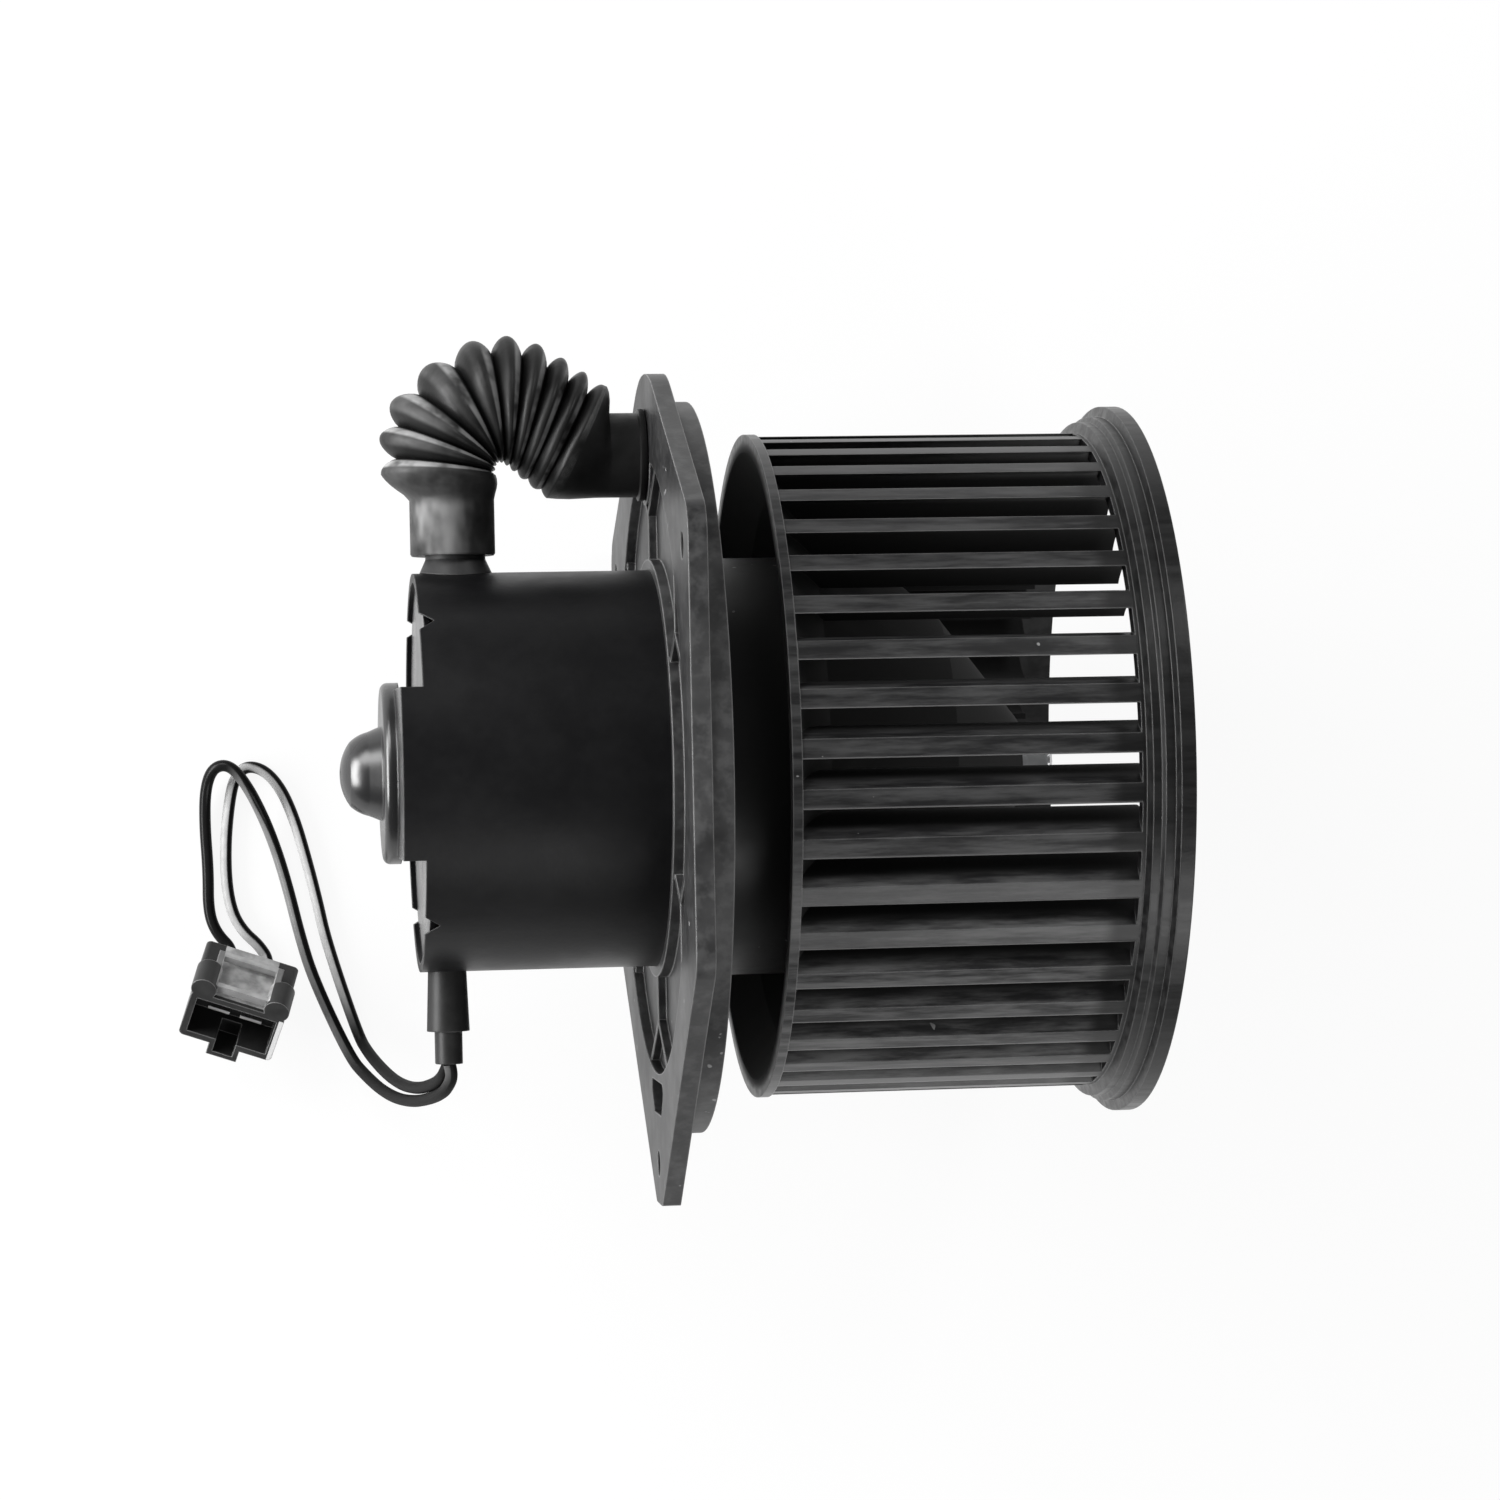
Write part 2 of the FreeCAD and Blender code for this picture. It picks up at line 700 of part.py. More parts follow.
def air_neck():
    """Stub tube that leads the cooling air into the can, with a skirt that seats on it."""
    tube = Part.makeCylinder(neck_r, neck_top_y - can_bore_r + 2.0, V(neck_x, can_bore_r - 2.0, 0), V(0, 1, 0))
    skirt_foot = can_r - 4.0
    skirt = Part.makeCone(neck_skirt_r, neck_r, neck_skirt_y - skirt_foot, V(neck_x, skirt_foot, 0), V(0, 1, 0))
    skirt = skirt.cut(cylinder(can_r + slip_gap, lug_x - 1, can_front_x))
    bore = Part.makeCylinder(neck_r - neck_wall, neck_top_y, V(neck_x, 1, 0), V(0, 1, 0))
    return tube.fuse(skirt).cut(bore)


def guide_curve(stations):
    """A smooth curve that passes each point at the ring number that the point belongs to."""
    curve = Part.BSplineCurve()
    curve.interpolate(Points=list(stations.values()), Parameters=[float(k) for k in stations])
    return curve


def circle_across(outer, inner, shrink):
    """A circle across the hose, on the line between a point on its outer side and one on its inner side."""
    across = outer - inner
    side = V(across.x, across.y, 0).normalize()
    circle = Part.Circle((outer + inner) * 0.5, side.cross(V(0, 0, 1)), across.Length / 2 - shrink)
    circle.XAxis = side
    return Part.Wire(circle.toShape())


def hose_sections(trim, rings_apart):
    """Circles along the hose: a straight cuff, a row of bulging rings and the other cuff."""
    outer_curve = guide_curve(hose_outer_guide)
    inner_curve = guide_curve(hose_inner_guide)
    cuff_x = neck_x + cuff_shift
    sections = [circle_across(V(cuff_x - cuff_r, y, 0), V(cuff_x + cuff_r, y, 0), trim)
                for y in (cuff_foot_y, cuff_top_y)]
    first_r = (hose_outer_guide[0] - hose_inner_guide[0]).Length / 2
    shoulder_y = (hose_outer_guide[0].y + cuff_top_y) / 2
    sections.append(circle_across(V(cuff_x - first_r + 0.8, shoulder_y, 0),
                                  V(cuff_x + first_r - 2.8, shoulder_y, 0), trim))
    steps = (hose_ring_count - 1) * rings_apart
    for i in range(steps + 1):
        place = i / rings_apart
        valley = math.sin(math.pi * place) ** 2
        depth = groove_depth * valley
        outer = outer_curve.value(place)
        inner = inner_curve.value(place)
        inward = (inner - outer).normalize()
        sections.append(circle_across(outer + inward * depth * 1.6, inner - inward * depth * 0.4, trim))
    foot_x = -plate_t - 0.15
    for x in (foot_x - port_reach, foot_x):
        sections.append(circle_across(V(x, port_y + cuff_r, 0), V(x, port_y - cuff_r, 0), trim))
    return sections


def skinned(sections):
    """A solid with a straight sided band between each circle and the next."""
    faces = [Part.Face(sections[0]), Part.Face(sections[-1])]
    for first, second in zip(sections, sections[1:]):
        faces += Part.makeLoft([first, second], False, True).Faces
    shell = Part.makeShell(faces)
    shell.sewShape()
    return Part.Solid(shell)


def cooling_hose():
    """Corrugated rubber hose from the neck on the can to the port on the flange."""
    skin = skinned(hose_sections(0.0, 4))
    hollow = skinned(hose_sections(hose_wall, 4))
    foot_x = -plate_t - 0.15
    lip = cylinder(cuff_lip_r, foot_x - cuff_lip, foot_x, port_y)
    sleeve_r = cuff_r - hose_wall / 2
    neck_sleeve = Part.makeCylinder(sleeve_r, cuff_top_y - cuff_foot_y, V(neck_x + cuff_shift, cuff_foot_y, 0),
                                    V(0, 1, 0))
    port_sleeve = cylinder(sleeve_r, foot_x - port_reach, foot_x, port_y)
    neck_bore = Part.makeCylinder(neck_r + slip_gap, neck_top_y, V(neck_x, cuff_foot_y - 1, 0), V(0, 1, 0))
    port_bore = cylinder(port_r + slip_gap, foot_x - port_reach - 1, 0, port_y)
    body = skin.cut(hollow).fuse([neck_sleeve.cut(neck_bore), port_sleeve.cut(port_bore)])
    return body.fuse(lip.cut(port_bore)).removeSplitter()


# Fan wheel

def blade_edge(lean_in, lean_out, offset_in, offset_out):
    """One face of the blade as an arc, from the inner radius to the outer radius."""
    points = []
    for share in (0.0, 0.5, 1.0):
        lean = math.radians(lean_in + (lean_out - lean_in) * share)
        start = math.radians(lean_in)
        across = blade_curve_r * (math.cos(start) - math.cos(lean))
        along = blade_curve_r * (math.sin(lean) - math.sin(start))
        offset = offset_in + (offset_out - offset_in) * share
        y = -across + offset * math.cos(lean)
        z = blade_inner_r + along + offset * math.sin(lean)
        points.append(V(0, y, z))
    return points


def blade():
    """One forward curved blade, thin at its inner edge and thick at the rim."""
    upper = blade_edge(blade_inner_lean, blade_rim_lean, blade_inner_t / 2, blade_outer_t / 2)
    lower = blade_edge(blade_inner_lean, blade_rim_lean, -blade_inner_t / 2, -blade_outer_t / 2)
    edges = [Part.Arc(*upper).toShape(), Part.LineSegment(upper[2], lower[2]).toShape(),
             Part.Arc(lower[2], lower[1], lower[0]).toShape(), Part.LineSegment(lower[0], upper[0]).toShape()]
    profile = Part.Face(Part.Wire(edges))
    x0 = fan_back_x + fan_ring_t / 2
    profile.translate(V(x0, 0, 0))
    return profile.extrude(V(blade_end_x - x0, 0, 0))


def dome_profile(shift):
    """Points down one side of the dome, from the rim of the back plate to the hub."""
    return [(fan_back_x + shift, fan_ring_inner_r), (dome_shoulder_x + shift, dome_shoulder_r),
            (dome_mid_x + shift, dome_mid_r), (hub_end_x - 1.0 + shift, hub_r)]


def inlet_ring():
    """The stepped ring that ties the blades together at the open end, with a flared mouth."""
    groove_x = inlet_end_x - inlet_flange_t - 0.6
    return turned_polygon([
        (blade_end_x - 1.3, inlet_bore_r), (inlet_end_x, inlet_mouth_r), (inlet_end_x, inlet_r),
        (inlet_end_x - inlet_flange_t, inlet_r), (groove_x, inlet_groove_r), (groove_x - 2.0, inlet_groove_r),
        (groove_x - 2.6, inlet_step_r), (blade_end_x + 0.4, inlet_step_r),
        (blade_end_x - 0.4, blade_outer_r), (blade_end_x - 1.3, blade_outer_r)])


def fan_wheel():
    """Moulded squirrel cage wheel: dome, hub, curved blades and the stepped inlet ring."""
    left = dome_profile(-dome_wall * 0.2)
    right = dome_profile(dome_wall * 1.25)
    left[0] = (fan_back_x, fan_ring_inner_r)
    ring_x = fan_back_x + fan_ring_t
    shell = turned_polygon([(fan_back_x, fan_r)] + left + [(hub_end_x, hub_r)] + right[2:0:-1]
                           + [(ring_x, fan_ring_inner_r + 1.0), (ring_x, fan_r)])
    hub = cylinder(hub_r, hub_start_x, hub_end_x)
    limit = ring(blade_outer_r, blade_inner_r - 3, fan_back_x, blade_end_x + 1)
    blades = [one.common(limit) for one in around(blade(), blade_count, blade_phase)]
    wheel = shell.fuse([hub, inlet_ring()] + blades)
    motor_room = turned_polygon([
        (fan_back_x - 1, 0), (fan_back_x - 1, fan_ring_inner_r + 1), left[0], left[1], left[2],
        (hub_start_x - 0.01, dome_mid_r - 2), (hub_start_x - 0.01, 0)])
    bore = cylinder(shaft_r + running_gap / 2, hub_start_x - 1, hub_end_x + 1)
    return wheel.cut([motor_room, bore]).removeSplitter()


def fan_washer():
    """Plain washer under the nut."""
    return ring(fan_washer_r, shaft_r + running_gap, hub_end_x, nut_x)


def fan_nut():
    """Hexagon nut that holds the wheel on the shaft."""
    corner_r = nut_across_flats / 2 / math.cos(math.pi / 6)
    corners = [V(nut_x, corner_r * math.cos(math.radians(60 * i)), corner_r * math.sin(math.radians(60 * i)))
               for i in range(7)]
    body = Part.Face(Part.makePolygon(corners)).extrude(V(nut_t, 0, 0))
    return body.cut(cylinder(shaft_thread_r + running_gap / 2, nut_x - 1, nut_x + nut_t + 1))


# Lead boot, wires and connector

def lead_boot():
    """Rubber boot in the wall of the can that the two wires come out of."""
    top_y = -can_bore_r + boot_flange_t + 0.5
    clear_x = end_plate_x + end_plate_t + slip_gap
    seat = Part.makeCylinder(boot_flange_r, boot_flange_t, V(boot_x, top_y, 0), V(0, -1, 0))
    neck = Part.makeCylinder(boot_r, can_r - can_bore_r + 1.0, V(boot_x, top_y - 0.5, 0), V(0, -1, 0))
    wide = boot_flange_r + 3.4
    inside = seat.fuse(neck).cut(box(boot_x - wide, clear_x, -can_bore_r, top_y + 1, -wide, wide))
    outer_y = -can_r - 0.15
    body = Part.makeCone(boot_r, boot_flare_r, outer_y - boot_body_y, V(boot_x, outer_y, 0), V(0, -1, 0))
    throat = Part.makeCylinder(boot_r, 3.0, V(boot_x, 1.0 - can_bore_r, 0), V(0, -1, 0))
    throat = throat.cut(box(boot_x - wide, clear_x, -can_bore_r, top_y + 1, -wide, wide))
    shift = wire_pitch / 2 - 0.2
    tail_y = boot_body_y + 0.5
    ends = []
    for sign in (-1, 1):
        start = V(boot_x, tail_y, sign * shift)
        ends.append(Part.makeCylinder(boot_tail_half, tail_y - boot_tail_y, start, V(0, -1, 0)))
    middle = box(boot_x - boot_tail_half, boot_x + boot_tail_half, boot_tail_y, tail_y, -shift, shift)
    return inside.fuse([throat, body, middle] + ends).removeSplitter()


def connector_axes():
    """Width, mating and height directions of the connector, and the centre of its front face."""
    turn = math.radians(connector_turn)
    tilt = math.radians(connector_tilt)
    width = V(math.cos(turn), math.sin(turn), 0)
    plan = V(math.sin(turn), -math.cos(turn), 0)
    mating = plan * math.cos(tilt) + V(0, 0, math.sin(tilt))
    height = plan * -math.sin(tilt) + V(0, 0, math.cos(tilt))
    lift = connector_length * math.sin(tilt) + connector_height / 2 * math.cos(tilt)
    front = V(connector_front.x, connector_front.y, floor_z + lift)
    return width, mating, height, front


def placed(shape):
    """Move a shape from the connector's own axes to where the connector lies."""
    width, mating, height, front = connector_axes()
    matrix = FreeCAD.Matrix(-width.x, mating.x, height.x, front.x,
                            -width.y, mating.y, height.y, front.y,
                            -width.z, mating.z, height.z, front.z, 0, 0, 0, 1)
    copy = shape.copy()
    copy.Placement = FreeCAD.Placement(matrix)
    return copy


def wire_end(sign):
    """Where one wire meets the back of the connector."""
    width, mating, height, front = connector_axes()
    return front + width * (sign * wire_seat) - mating * connector_length + height * wire_seat_up


def connector_housing():
    """Two way connector: cavity, keyway, side bosses and the latch loop on top."""
    w = connector_width / 2
    h = connector_height / 2
    length = connector_length
    body = box(-w, w, -length, 0, -h, h)
    upright = [e for e in body.Edges if e.BoundBox.YLength > length - 0.01]
    body = body.makeFillet(1.2, upright)
    key = box(-keyway_width / 2, keyway_width / 2, -keyway_length, 0, -h - keyway_drop, -h + 1)
    bosses = []
    for sign in (-1, 1):
        x = sign * (w - connector_boss_r + 0.5)
        bosses.append(Part.makeCylinder(connector_boss_r, 7.0, V(x, -7.0, h + 1.4), V(0, 1, 0)))
    z0 = h + latch_gap
    loop = box(-latch_width / 2, latch_width / 2, -latch_length - 0.8, -0.8, z0, z0 + latch_t)
    window = box(-latch_width / 2 + latch_bar, latch_width / 2 - latch_bar, -latch_length + latch_bar - 0.8,
                 -0.8 - latch_bar, z0 - 1, z0 + latch_t + 1)
    arms = [box(sx * (latch_width / 2) - 1.2, sx * (latch_width / 2) + 1.2, -5.5, -0.8, z0, z0 + latch_t)
            for sx in (-1, 1)]
    outside = body.fuse([key, loop.cut(window)] + bosses + arms)
    cavity = box(-w + connector_wall, w - connector_wall, -cavity_depth, 1, -h + connector_wall, h - connector_wall)
    key_room = box(-keyway_width / 2 + 1.2, keyway_width / 2 - 1.2, -keyway_length + 0.8, 1,
                   -h - keyway_drop + 1.2, 0)
    seats = []
    for sign in (-1, 1):
        seats.append(box(sign * terminal_pitch / 2 - terminal_width / 2 - 0.05,
                         sign * terminal_pitch / 2 + terminal_width / 2 + 0.05,
                         -cavity_depth - 4.0, -cavity_depth + 1, -terminal_t / 2 - 0.05, terminal_t / 2 + 0.05))
    return placed(outside.cut([cavity, key_room] + seats).removeSplitter())


def connector_terminals():
    """Two flat blade terminals that stand in the cavity."""
    blades = []
    for sign in (-1, 1):
        x = sign * terminal_pitch / 2
        blades.append(placed(box(x - terminal_width / 2, x + terminal_width / 2, -cavity_depth - 3.9,
                                 -cavity_depth + terminal_reach, -terminal_t / 2, terminal_t / 2)))
    return Part.makeCompound(blades)


def cord_tube(name, points):
    """A wire as straight runs joined by arcs, each as large as its two runs allow."""
    radii = [0.0] * len(points)
    for i in range(1, len(points) - 1):
        before = points[i] - points[i - 1]
        after = points[i + 1] - points[i]
        turn = before.getAngle(after)
        radii[i] = 0.45 * min(before.Length, after.Length) / math.tan(turn / 2)
    edges = rounded_edges(points, radii, False)
    path = Part.Wire(edges)
    start = (points[1] - points[0]).normalize()
    circle = Part.Wire(Part.Circle(points[0], start, wire_r).toShape())
    tube = path.makePipeShell([circle], True, False)
    ideal = math.pi * wire_r ** 2 * path.Length
    print(name, "arc radii", [round(r, 1) for r in radii[1:-1]])
    print(name, "length", round(path.Length, 1), "volume", round(tube.Volume / ideal, 4), "of section x length")
    return tube


def wire_points(sign, free):
    """The route of one wire: boot end, the free points and the run into the connector."""
    width, mating, height, front = connector_axes()
    start = V(boot_x, boot_tail_y, sign * wire_pitch / 2)
    end = wire_end(-sign)
    return [start] + free + [end - mating * connector_lead_in, end]


lie = wire_lie_z
long_wire_route = [
    V(-47.7, -65.6, 1.45), V(-47.9, -69.7, 0), V(-48.3, -73, -3), V(-48.9, -75, -7.1),
    V(-49.8, -75.7, -13.6), V(-51.6, -75.9, -22.5), V(-53.9, -75.5, -35), V(-56.7, -74.4, -48.5),
    V(-60.1, -71.6, -61.5), V(-65, -65.5, lie + 4.05), V(-69.9, -56.9, lie), V(-74, -46.5, lie),
    V(-76.9, -36.2, lie), V(-79.1, -26.4, lie), V(-81.6, -17.3, lie), V(-84.5, -9.4, lie + 1.7),
    V(-88, -2.3, lie + 5.8), V(-91.7, 2.5, lie + 5.8), V(-95.5, 2.1, lie + 4.5), V(-97.4, -2.6, lie + 1.8),
    V(-97.7, -11, lie), V(-97.1, -21.4, lie), V(-97.3, -30.5, lie), V(-95.6, -35.6, lie)]
short_wire_route = [
    V(-47.7, -64.7, -1.45), V(-47.9, -68.1, -2.9), V(-48.2, -70.8, -5.4), V(-48.7, -72.3, -8.8),
    V(-49.4, -72.8, -14.6), V(-50.9, -72, -24), V(-53.1, -71.7, -36), V(-55.4, -70.3, -48),
    V(-58, -67.8, -59.4), V(-61.2, -63.3, lie + 6.45), V(-64.5, -57.2, lie + 0.75), V(-67.7, -49, lie),
    V(-70.8, -38.4, lie), V(-72.8, -28.4, lie), V(-75.1, -18.8, lie), V(-77.4, -10.3, lie),
    V(-80.3, -3.2, lie), V(-84, 1.2, lie), V(-88.1, 2.2, lie), V(-90.8, -0.5, lie), V(-92.1, -6.1, lie),
    V(-93.1, -15.2, lie), V(-93.1, -24.4, lie), V(-91.9, -31.2, lie), V(-89.4, -35.5, lie),
    V(-86, -38.6, lie)]

if __name__ == "__main__":
    rear_bush_end = rear_bush_x + bush_length / 2
    front_bush_start = front_bush_x - bush_length / 2
    hub_x = commutator_x - 1.0
    export("motor_can", motor_can())
    export("end_plate", end_plate())
    export("air_neck", air_neck())
    export("cooling_hose", cooling_hose())
    export("flange", flange())
    export("motor_screws", motor_screws())
    export("fan_wheel", fan_wheel())
    export("fan_washer", fan_washer())
    export("fan_nut", fan_nut())
    export("shaft", shaft())
    export("rear_bush", bush(rear_bush_x))
    export("front_bush", bush(front_bush_x))
    export("rear_bush_retainer", bush_retainer(boss_inner_x, rear_bush_x))
    export("front_bush_retainer", bush_retainer(front_wall_x - washer_t, front_bush_x))
    export("front_oil_felt", oil_felt())
    export("rear_thrust_washer", thrust_washer(rear_bush_end + 0.1))
    export("front_thrust_washer", thrust_washer(front_bush_start - 0.1 - washer_t))
    export("rear_spacer", spacer(rear_bush_end + washer_t + 0.2, hub_x))
    export("front_spacer", spacer(core_end_x, front_bush_start - washer_t - 0.2))
    export("armature_core", armature_core())
    export("armature_windings", armature_windings())
    export("commutator_hub", commutator_hub())
    export("commutator_bars", commutator_bars())
    export("magnet_upper", magnet(0.0))
    export("magnet_lower", magnet(180.0))
    export("magnet_clip_hose_side", magnet_clip(270.0))
    export("magnet_clip_lead_side", magnet_clip(90.0))
    export("brush_card", brush_card())
    for label, sign in (("upper", 1), ("lower", -1)):
        export("brush_holder_" + label, brush_holder(sign))
        export("brush_" + label, brush(sign))
        export("brush_spring_" + label, brush_spring(sign))
        export("choke_" + label, choke(choke_y, sign * choke_z))
    export("lead_boot", lead_boot())
    export("lead_wire_striped", cord_tube("lead_wire_striped", wire_points(1, long_wire_route)))
    export("lead_wire_plain", cord_tube("lead_wire_plain", wire_points(-1, short_wire_route)))
    export("connector_housing", connector_housing())
    export("connector_terminals", connector_terminals())
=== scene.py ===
"""Dresses the blower motor: its finishes, corrugated hose, brush springs, leads and stage."""

import math

import bpy
from mathutils import Matrix, Vector


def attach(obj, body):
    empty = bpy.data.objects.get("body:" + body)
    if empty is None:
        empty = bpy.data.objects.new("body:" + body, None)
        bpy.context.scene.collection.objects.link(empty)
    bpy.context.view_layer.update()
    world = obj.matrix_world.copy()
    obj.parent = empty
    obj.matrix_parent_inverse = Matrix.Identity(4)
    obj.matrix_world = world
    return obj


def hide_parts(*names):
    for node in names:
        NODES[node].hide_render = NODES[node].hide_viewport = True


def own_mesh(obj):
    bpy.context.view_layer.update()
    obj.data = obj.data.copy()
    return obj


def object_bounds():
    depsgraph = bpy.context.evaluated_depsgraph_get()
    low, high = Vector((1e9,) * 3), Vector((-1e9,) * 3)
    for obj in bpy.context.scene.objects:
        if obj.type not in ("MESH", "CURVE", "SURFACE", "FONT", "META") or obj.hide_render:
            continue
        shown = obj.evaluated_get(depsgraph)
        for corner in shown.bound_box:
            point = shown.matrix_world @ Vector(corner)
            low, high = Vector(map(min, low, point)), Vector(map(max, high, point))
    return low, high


bl_info = {
    "name": "Cabin blower motor",
    "version": (1, 0, 0),
    "blender": (4, 5, 0),
    "location": "View3D > Sidebar > Blower",
    "description": "Builds the finishes, hose, leads and stage of a cabin blower motor",
    "category": "Object",
}

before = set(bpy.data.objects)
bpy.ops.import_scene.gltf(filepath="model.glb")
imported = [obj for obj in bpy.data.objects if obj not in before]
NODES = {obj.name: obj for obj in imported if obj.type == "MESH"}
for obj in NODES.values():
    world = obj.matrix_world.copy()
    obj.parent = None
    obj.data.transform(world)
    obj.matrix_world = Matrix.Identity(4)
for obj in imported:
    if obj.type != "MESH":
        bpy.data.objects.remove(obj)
CAD_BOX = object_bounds()
FLOOR_Z = CAD_BOX[0][2]
HOUSING = "housing"
MM = 0.001

# Colours that several finishes share

WHITE = (1.0, 1.0, 1.0, 1.0)
# Pale grey of dust, which on the hose's left part also stands for painted light
DUST_AND_LIGHT = (0.30, 0.30, 0.30, 1.0)
# Pale grey of the painted highlights on the hose and of the scuffs on its cuff
SCUFF_AND_HIGHLIGHT = (0.36, 0.36, 0.36, 1.0)
CRUMB = (0.40, 0.40, 0.40, 1.0)
# Black put into the fan wheel, onto its inlet ring and into the hose's grooves as painted shade
PAINTED_SHADE = (0.002, 0.002, 0.002, 1.0)
STEEL = (0.62, 0.62, 0.63)

# Relief and shine that several finishes share: lengths in metres, scales in features per metre

EDGE_RADIUS = 0.4 * MM
EDGE_GAIN = 3.0
GRAIN_SCALE = 900.0
GRAIN_DEPTH = 0.02 * MM
SPECK_SCALE = 420.0
PATCH_SCALE = 33.0
DUST_FADE = 3.0 * MM
PLASTIC_SHINE = 0.3


# Shader maths

class Wire:
    """One output of a shader node, so that sums on it read as plain Python."""

    def __init__(self, shader, socket):
        self.shader = shader
        self.socket = socket

    def _math(self, operation, first, second=None):
        node = self.shader.add("ShaderNodeMath", {"operation": operation}, {0: first})
        if second is not None:
            self.shader.feed(node.inputs[1], second)
        return Wire(self.shader, node.outputs[0])

    def __add__(self, other):
        return self._math("ADD", self, other)

    def __radd__(self, other):
        return self._math("ADD", other, self)

    def __sub__(self, other):
        return self._math("SUBTRACT", self, other)

    def __rsub__(self, other):
        return self._math("SUBTRACT", other, self)

    def __mul__(self, other):
        return self._math("MULTIPLY", self, other)

    def __rmul__(self, other):
        return self._math("MULTIPLY", other, self)

    def __pow__(self, other):
        return self._math("POWER", self, other)

    def __gt__(self, other):
        return self._math("GREATER_THAN", self, other)

    def __lt__(self, other):
        return self._math("LESS_THAN", self, other)

    def clamped(self):
        node = self.shader.add("ShaderNodeClamp", {}, {"Value": self})
        return Wire(self.shader, node.outputs[0])

    def sine(self):
        return self._math("SINE", self)

    def fraction(self):
        return self._math("FRACT", self)

    def ramp(self, low, high, to_low=0.0, to_high=1.0):
        """Rises smoothly from to_low to to_high while this value goes from low to high."""
        node = self.shader.add("ShaderNodeMapRange", {"interpolation_type": "SMOOTHSTEP"}, {
            "Value": self, "From Min": low, "From Max": high, "To Min": to_low, "To Max": to_high})
        return Wire(self.shader, node.outputs[0])


class Shader:
    """Builds one material from a Principled shader and a few procedural layers."""

    def __init__(self, name):
        self.material = bpy.data.materials.new(name)
        self.material.use_nodes = True
        self.tree = self.material.node_tree
        self.base = self.tree.nodes["Principled BSDF"]
        self.place = Wire(self, self.add("ShaderNodeTexCoord", {}, {}).outputs["Object"])

    def feed(self, socket, value):
        """Links a wire to a socket, or sets a plain value on it."""
        if isinstance(value, Wire):
            self.tree.links.new(value.socket, socket)
        else:
            socket.default_value = value

    def add(self, kind, settings, inputs):
        """Adds a node of a kind, with its settings first and then its inputs."""
        node = self.tree.nodes.new(kind)
        for key, value in settings.items():
            setattr(node, key, value)
        for key, value in inputs.items():
            self.feed(node.inputs[key], value)
        return node

    def noise(self, scale, detail=2.0, roughness=0.5, stretch=(1.0, 1.0, 1.0)):
        """Cloudy noise, with the scale in features per metre along each axis."""
        mapped = self.add("ShaderNodeMapping", {}, {"Vector": self.place, "Scale": stretch})
        node = self.add("ShaderNodeTexNoise", {}, {
            "Vector": Wire(self, mapped.outputs[0]), "Scale": scale, "Detail": detail,
            "Roughness": roughness})
        return Wire(self, node.outputs["Fac"])

    def specks(self, fine, patch):
        """1 on scattered crumbs, fewer with a higher level of the fine noise or of its patches."""
        return (self.noise(SPECK_SCALE, 1.0) > fine) * (self.noise(PATCH_SCALE, 1.0) > patch)

    def edges(self, radius=EDGE_RADIUS, gain=EDGE_GAIN):
        """Rounded normals, and how far each place lies on a sharp edge, from 0 to 1."""
        rounded = self.add("ShaderNodeBevel", {"samples": 6}, {"Radius": radius})
        plain = self.add("ShaderNodeNewGeometry", {}, {})
        dot = self.add("ShaderNodeVectorMath", {"operation": "DOT_PRODUCT"}, {
            0: Wire(self, rounded.outputs[0]), 1: Wire(self, plain.outputs["Normal"])})
        sharp = 1.0 - Wire(self, dot.outputs["Value"])
        return Wire(self, rounded.outputs[0]), (sharp * gain).clamped()

    def parts(self, vector):
        """The three parts of a vector."""
        split = self.add("ShaderNodeSeparateXYZ", {}, {0: vector})
        return tuple(Wire(self, split.outputs[axis]) for axis in "XYZ")

    def facing(self, x, y, z):
        """How far the surface faces a fixed direction, from -1 to 1."""
        plain = self.add("ShaderNodeNewGeometry", {}, {})
        nx, ny, nz = self.parts(Wire(self, plain.outputs["Normal"]))
        return nx * x + ny * y + nz * z

    def mix(self, share, first, second):
        """A colour between two colours."""
        node = self.add("ShaderNodeMix", {"data_type": "RGBA"}, {"Factor": share})
        self.feed(node.inputs[6], first)
        self.feed(node.inputs[7], second)
        return Wire(self, node.outputs[2])

    def bump(self, height, depth, normal=None):
        """Small relief of a depth in metres."""
        node = self.add("ShaderNodeBump", {}, {
            "Height": height, "Distance": depth, "Strength": 1.0})
        if normal is not None:
            self.feed(node.inputs["Normal"], normal)
        return Wire(self, node.outputs[0])

    def grain(self, normal):
        """The fine grain of moulded or painted surfaces, on top of a normal."""
        return self.bump(self.noise(GRAIN_SCALE), GRAIN_DEPTH, normal)

    def even(self, name, value):
        """Sets a Principled socket to one value all over."""
        self.base.inputs[name].default_value = value

    def finish(self, **values):
        """Feeds the Principled sockets, given by name with underscores for spaces."""
        for key, value in values.items():
            self.feed(self.base.inputs[key.replace("_", " ").title()], value)
        return self.material


# Where the connector lies: its angles in degrees, its size and the middle of its front face

PLUG_TURN = -19.0
PLUG_TILT = 50.0
PLUG_HALF_WIDTH = 10.75 * MM
PLUG_HALF_HEIGHT = 6.75 * MM
PLUG_LENGTH = 17.5 * MM
PLUG_FRONT = (-92.7 * MM, -55.75 * MM, FLOOR_Z + PLUG_LENGTH * math.sin(math.radians(PLUG_TILT))
              + PLUG_HALF_HEIGHT * math.cos(math.radians(PLUG_TILT)))

# Where its painted reflections on the latch loop, ledge and right wall start in its own axes, with
# places behind the front face as negative numbers

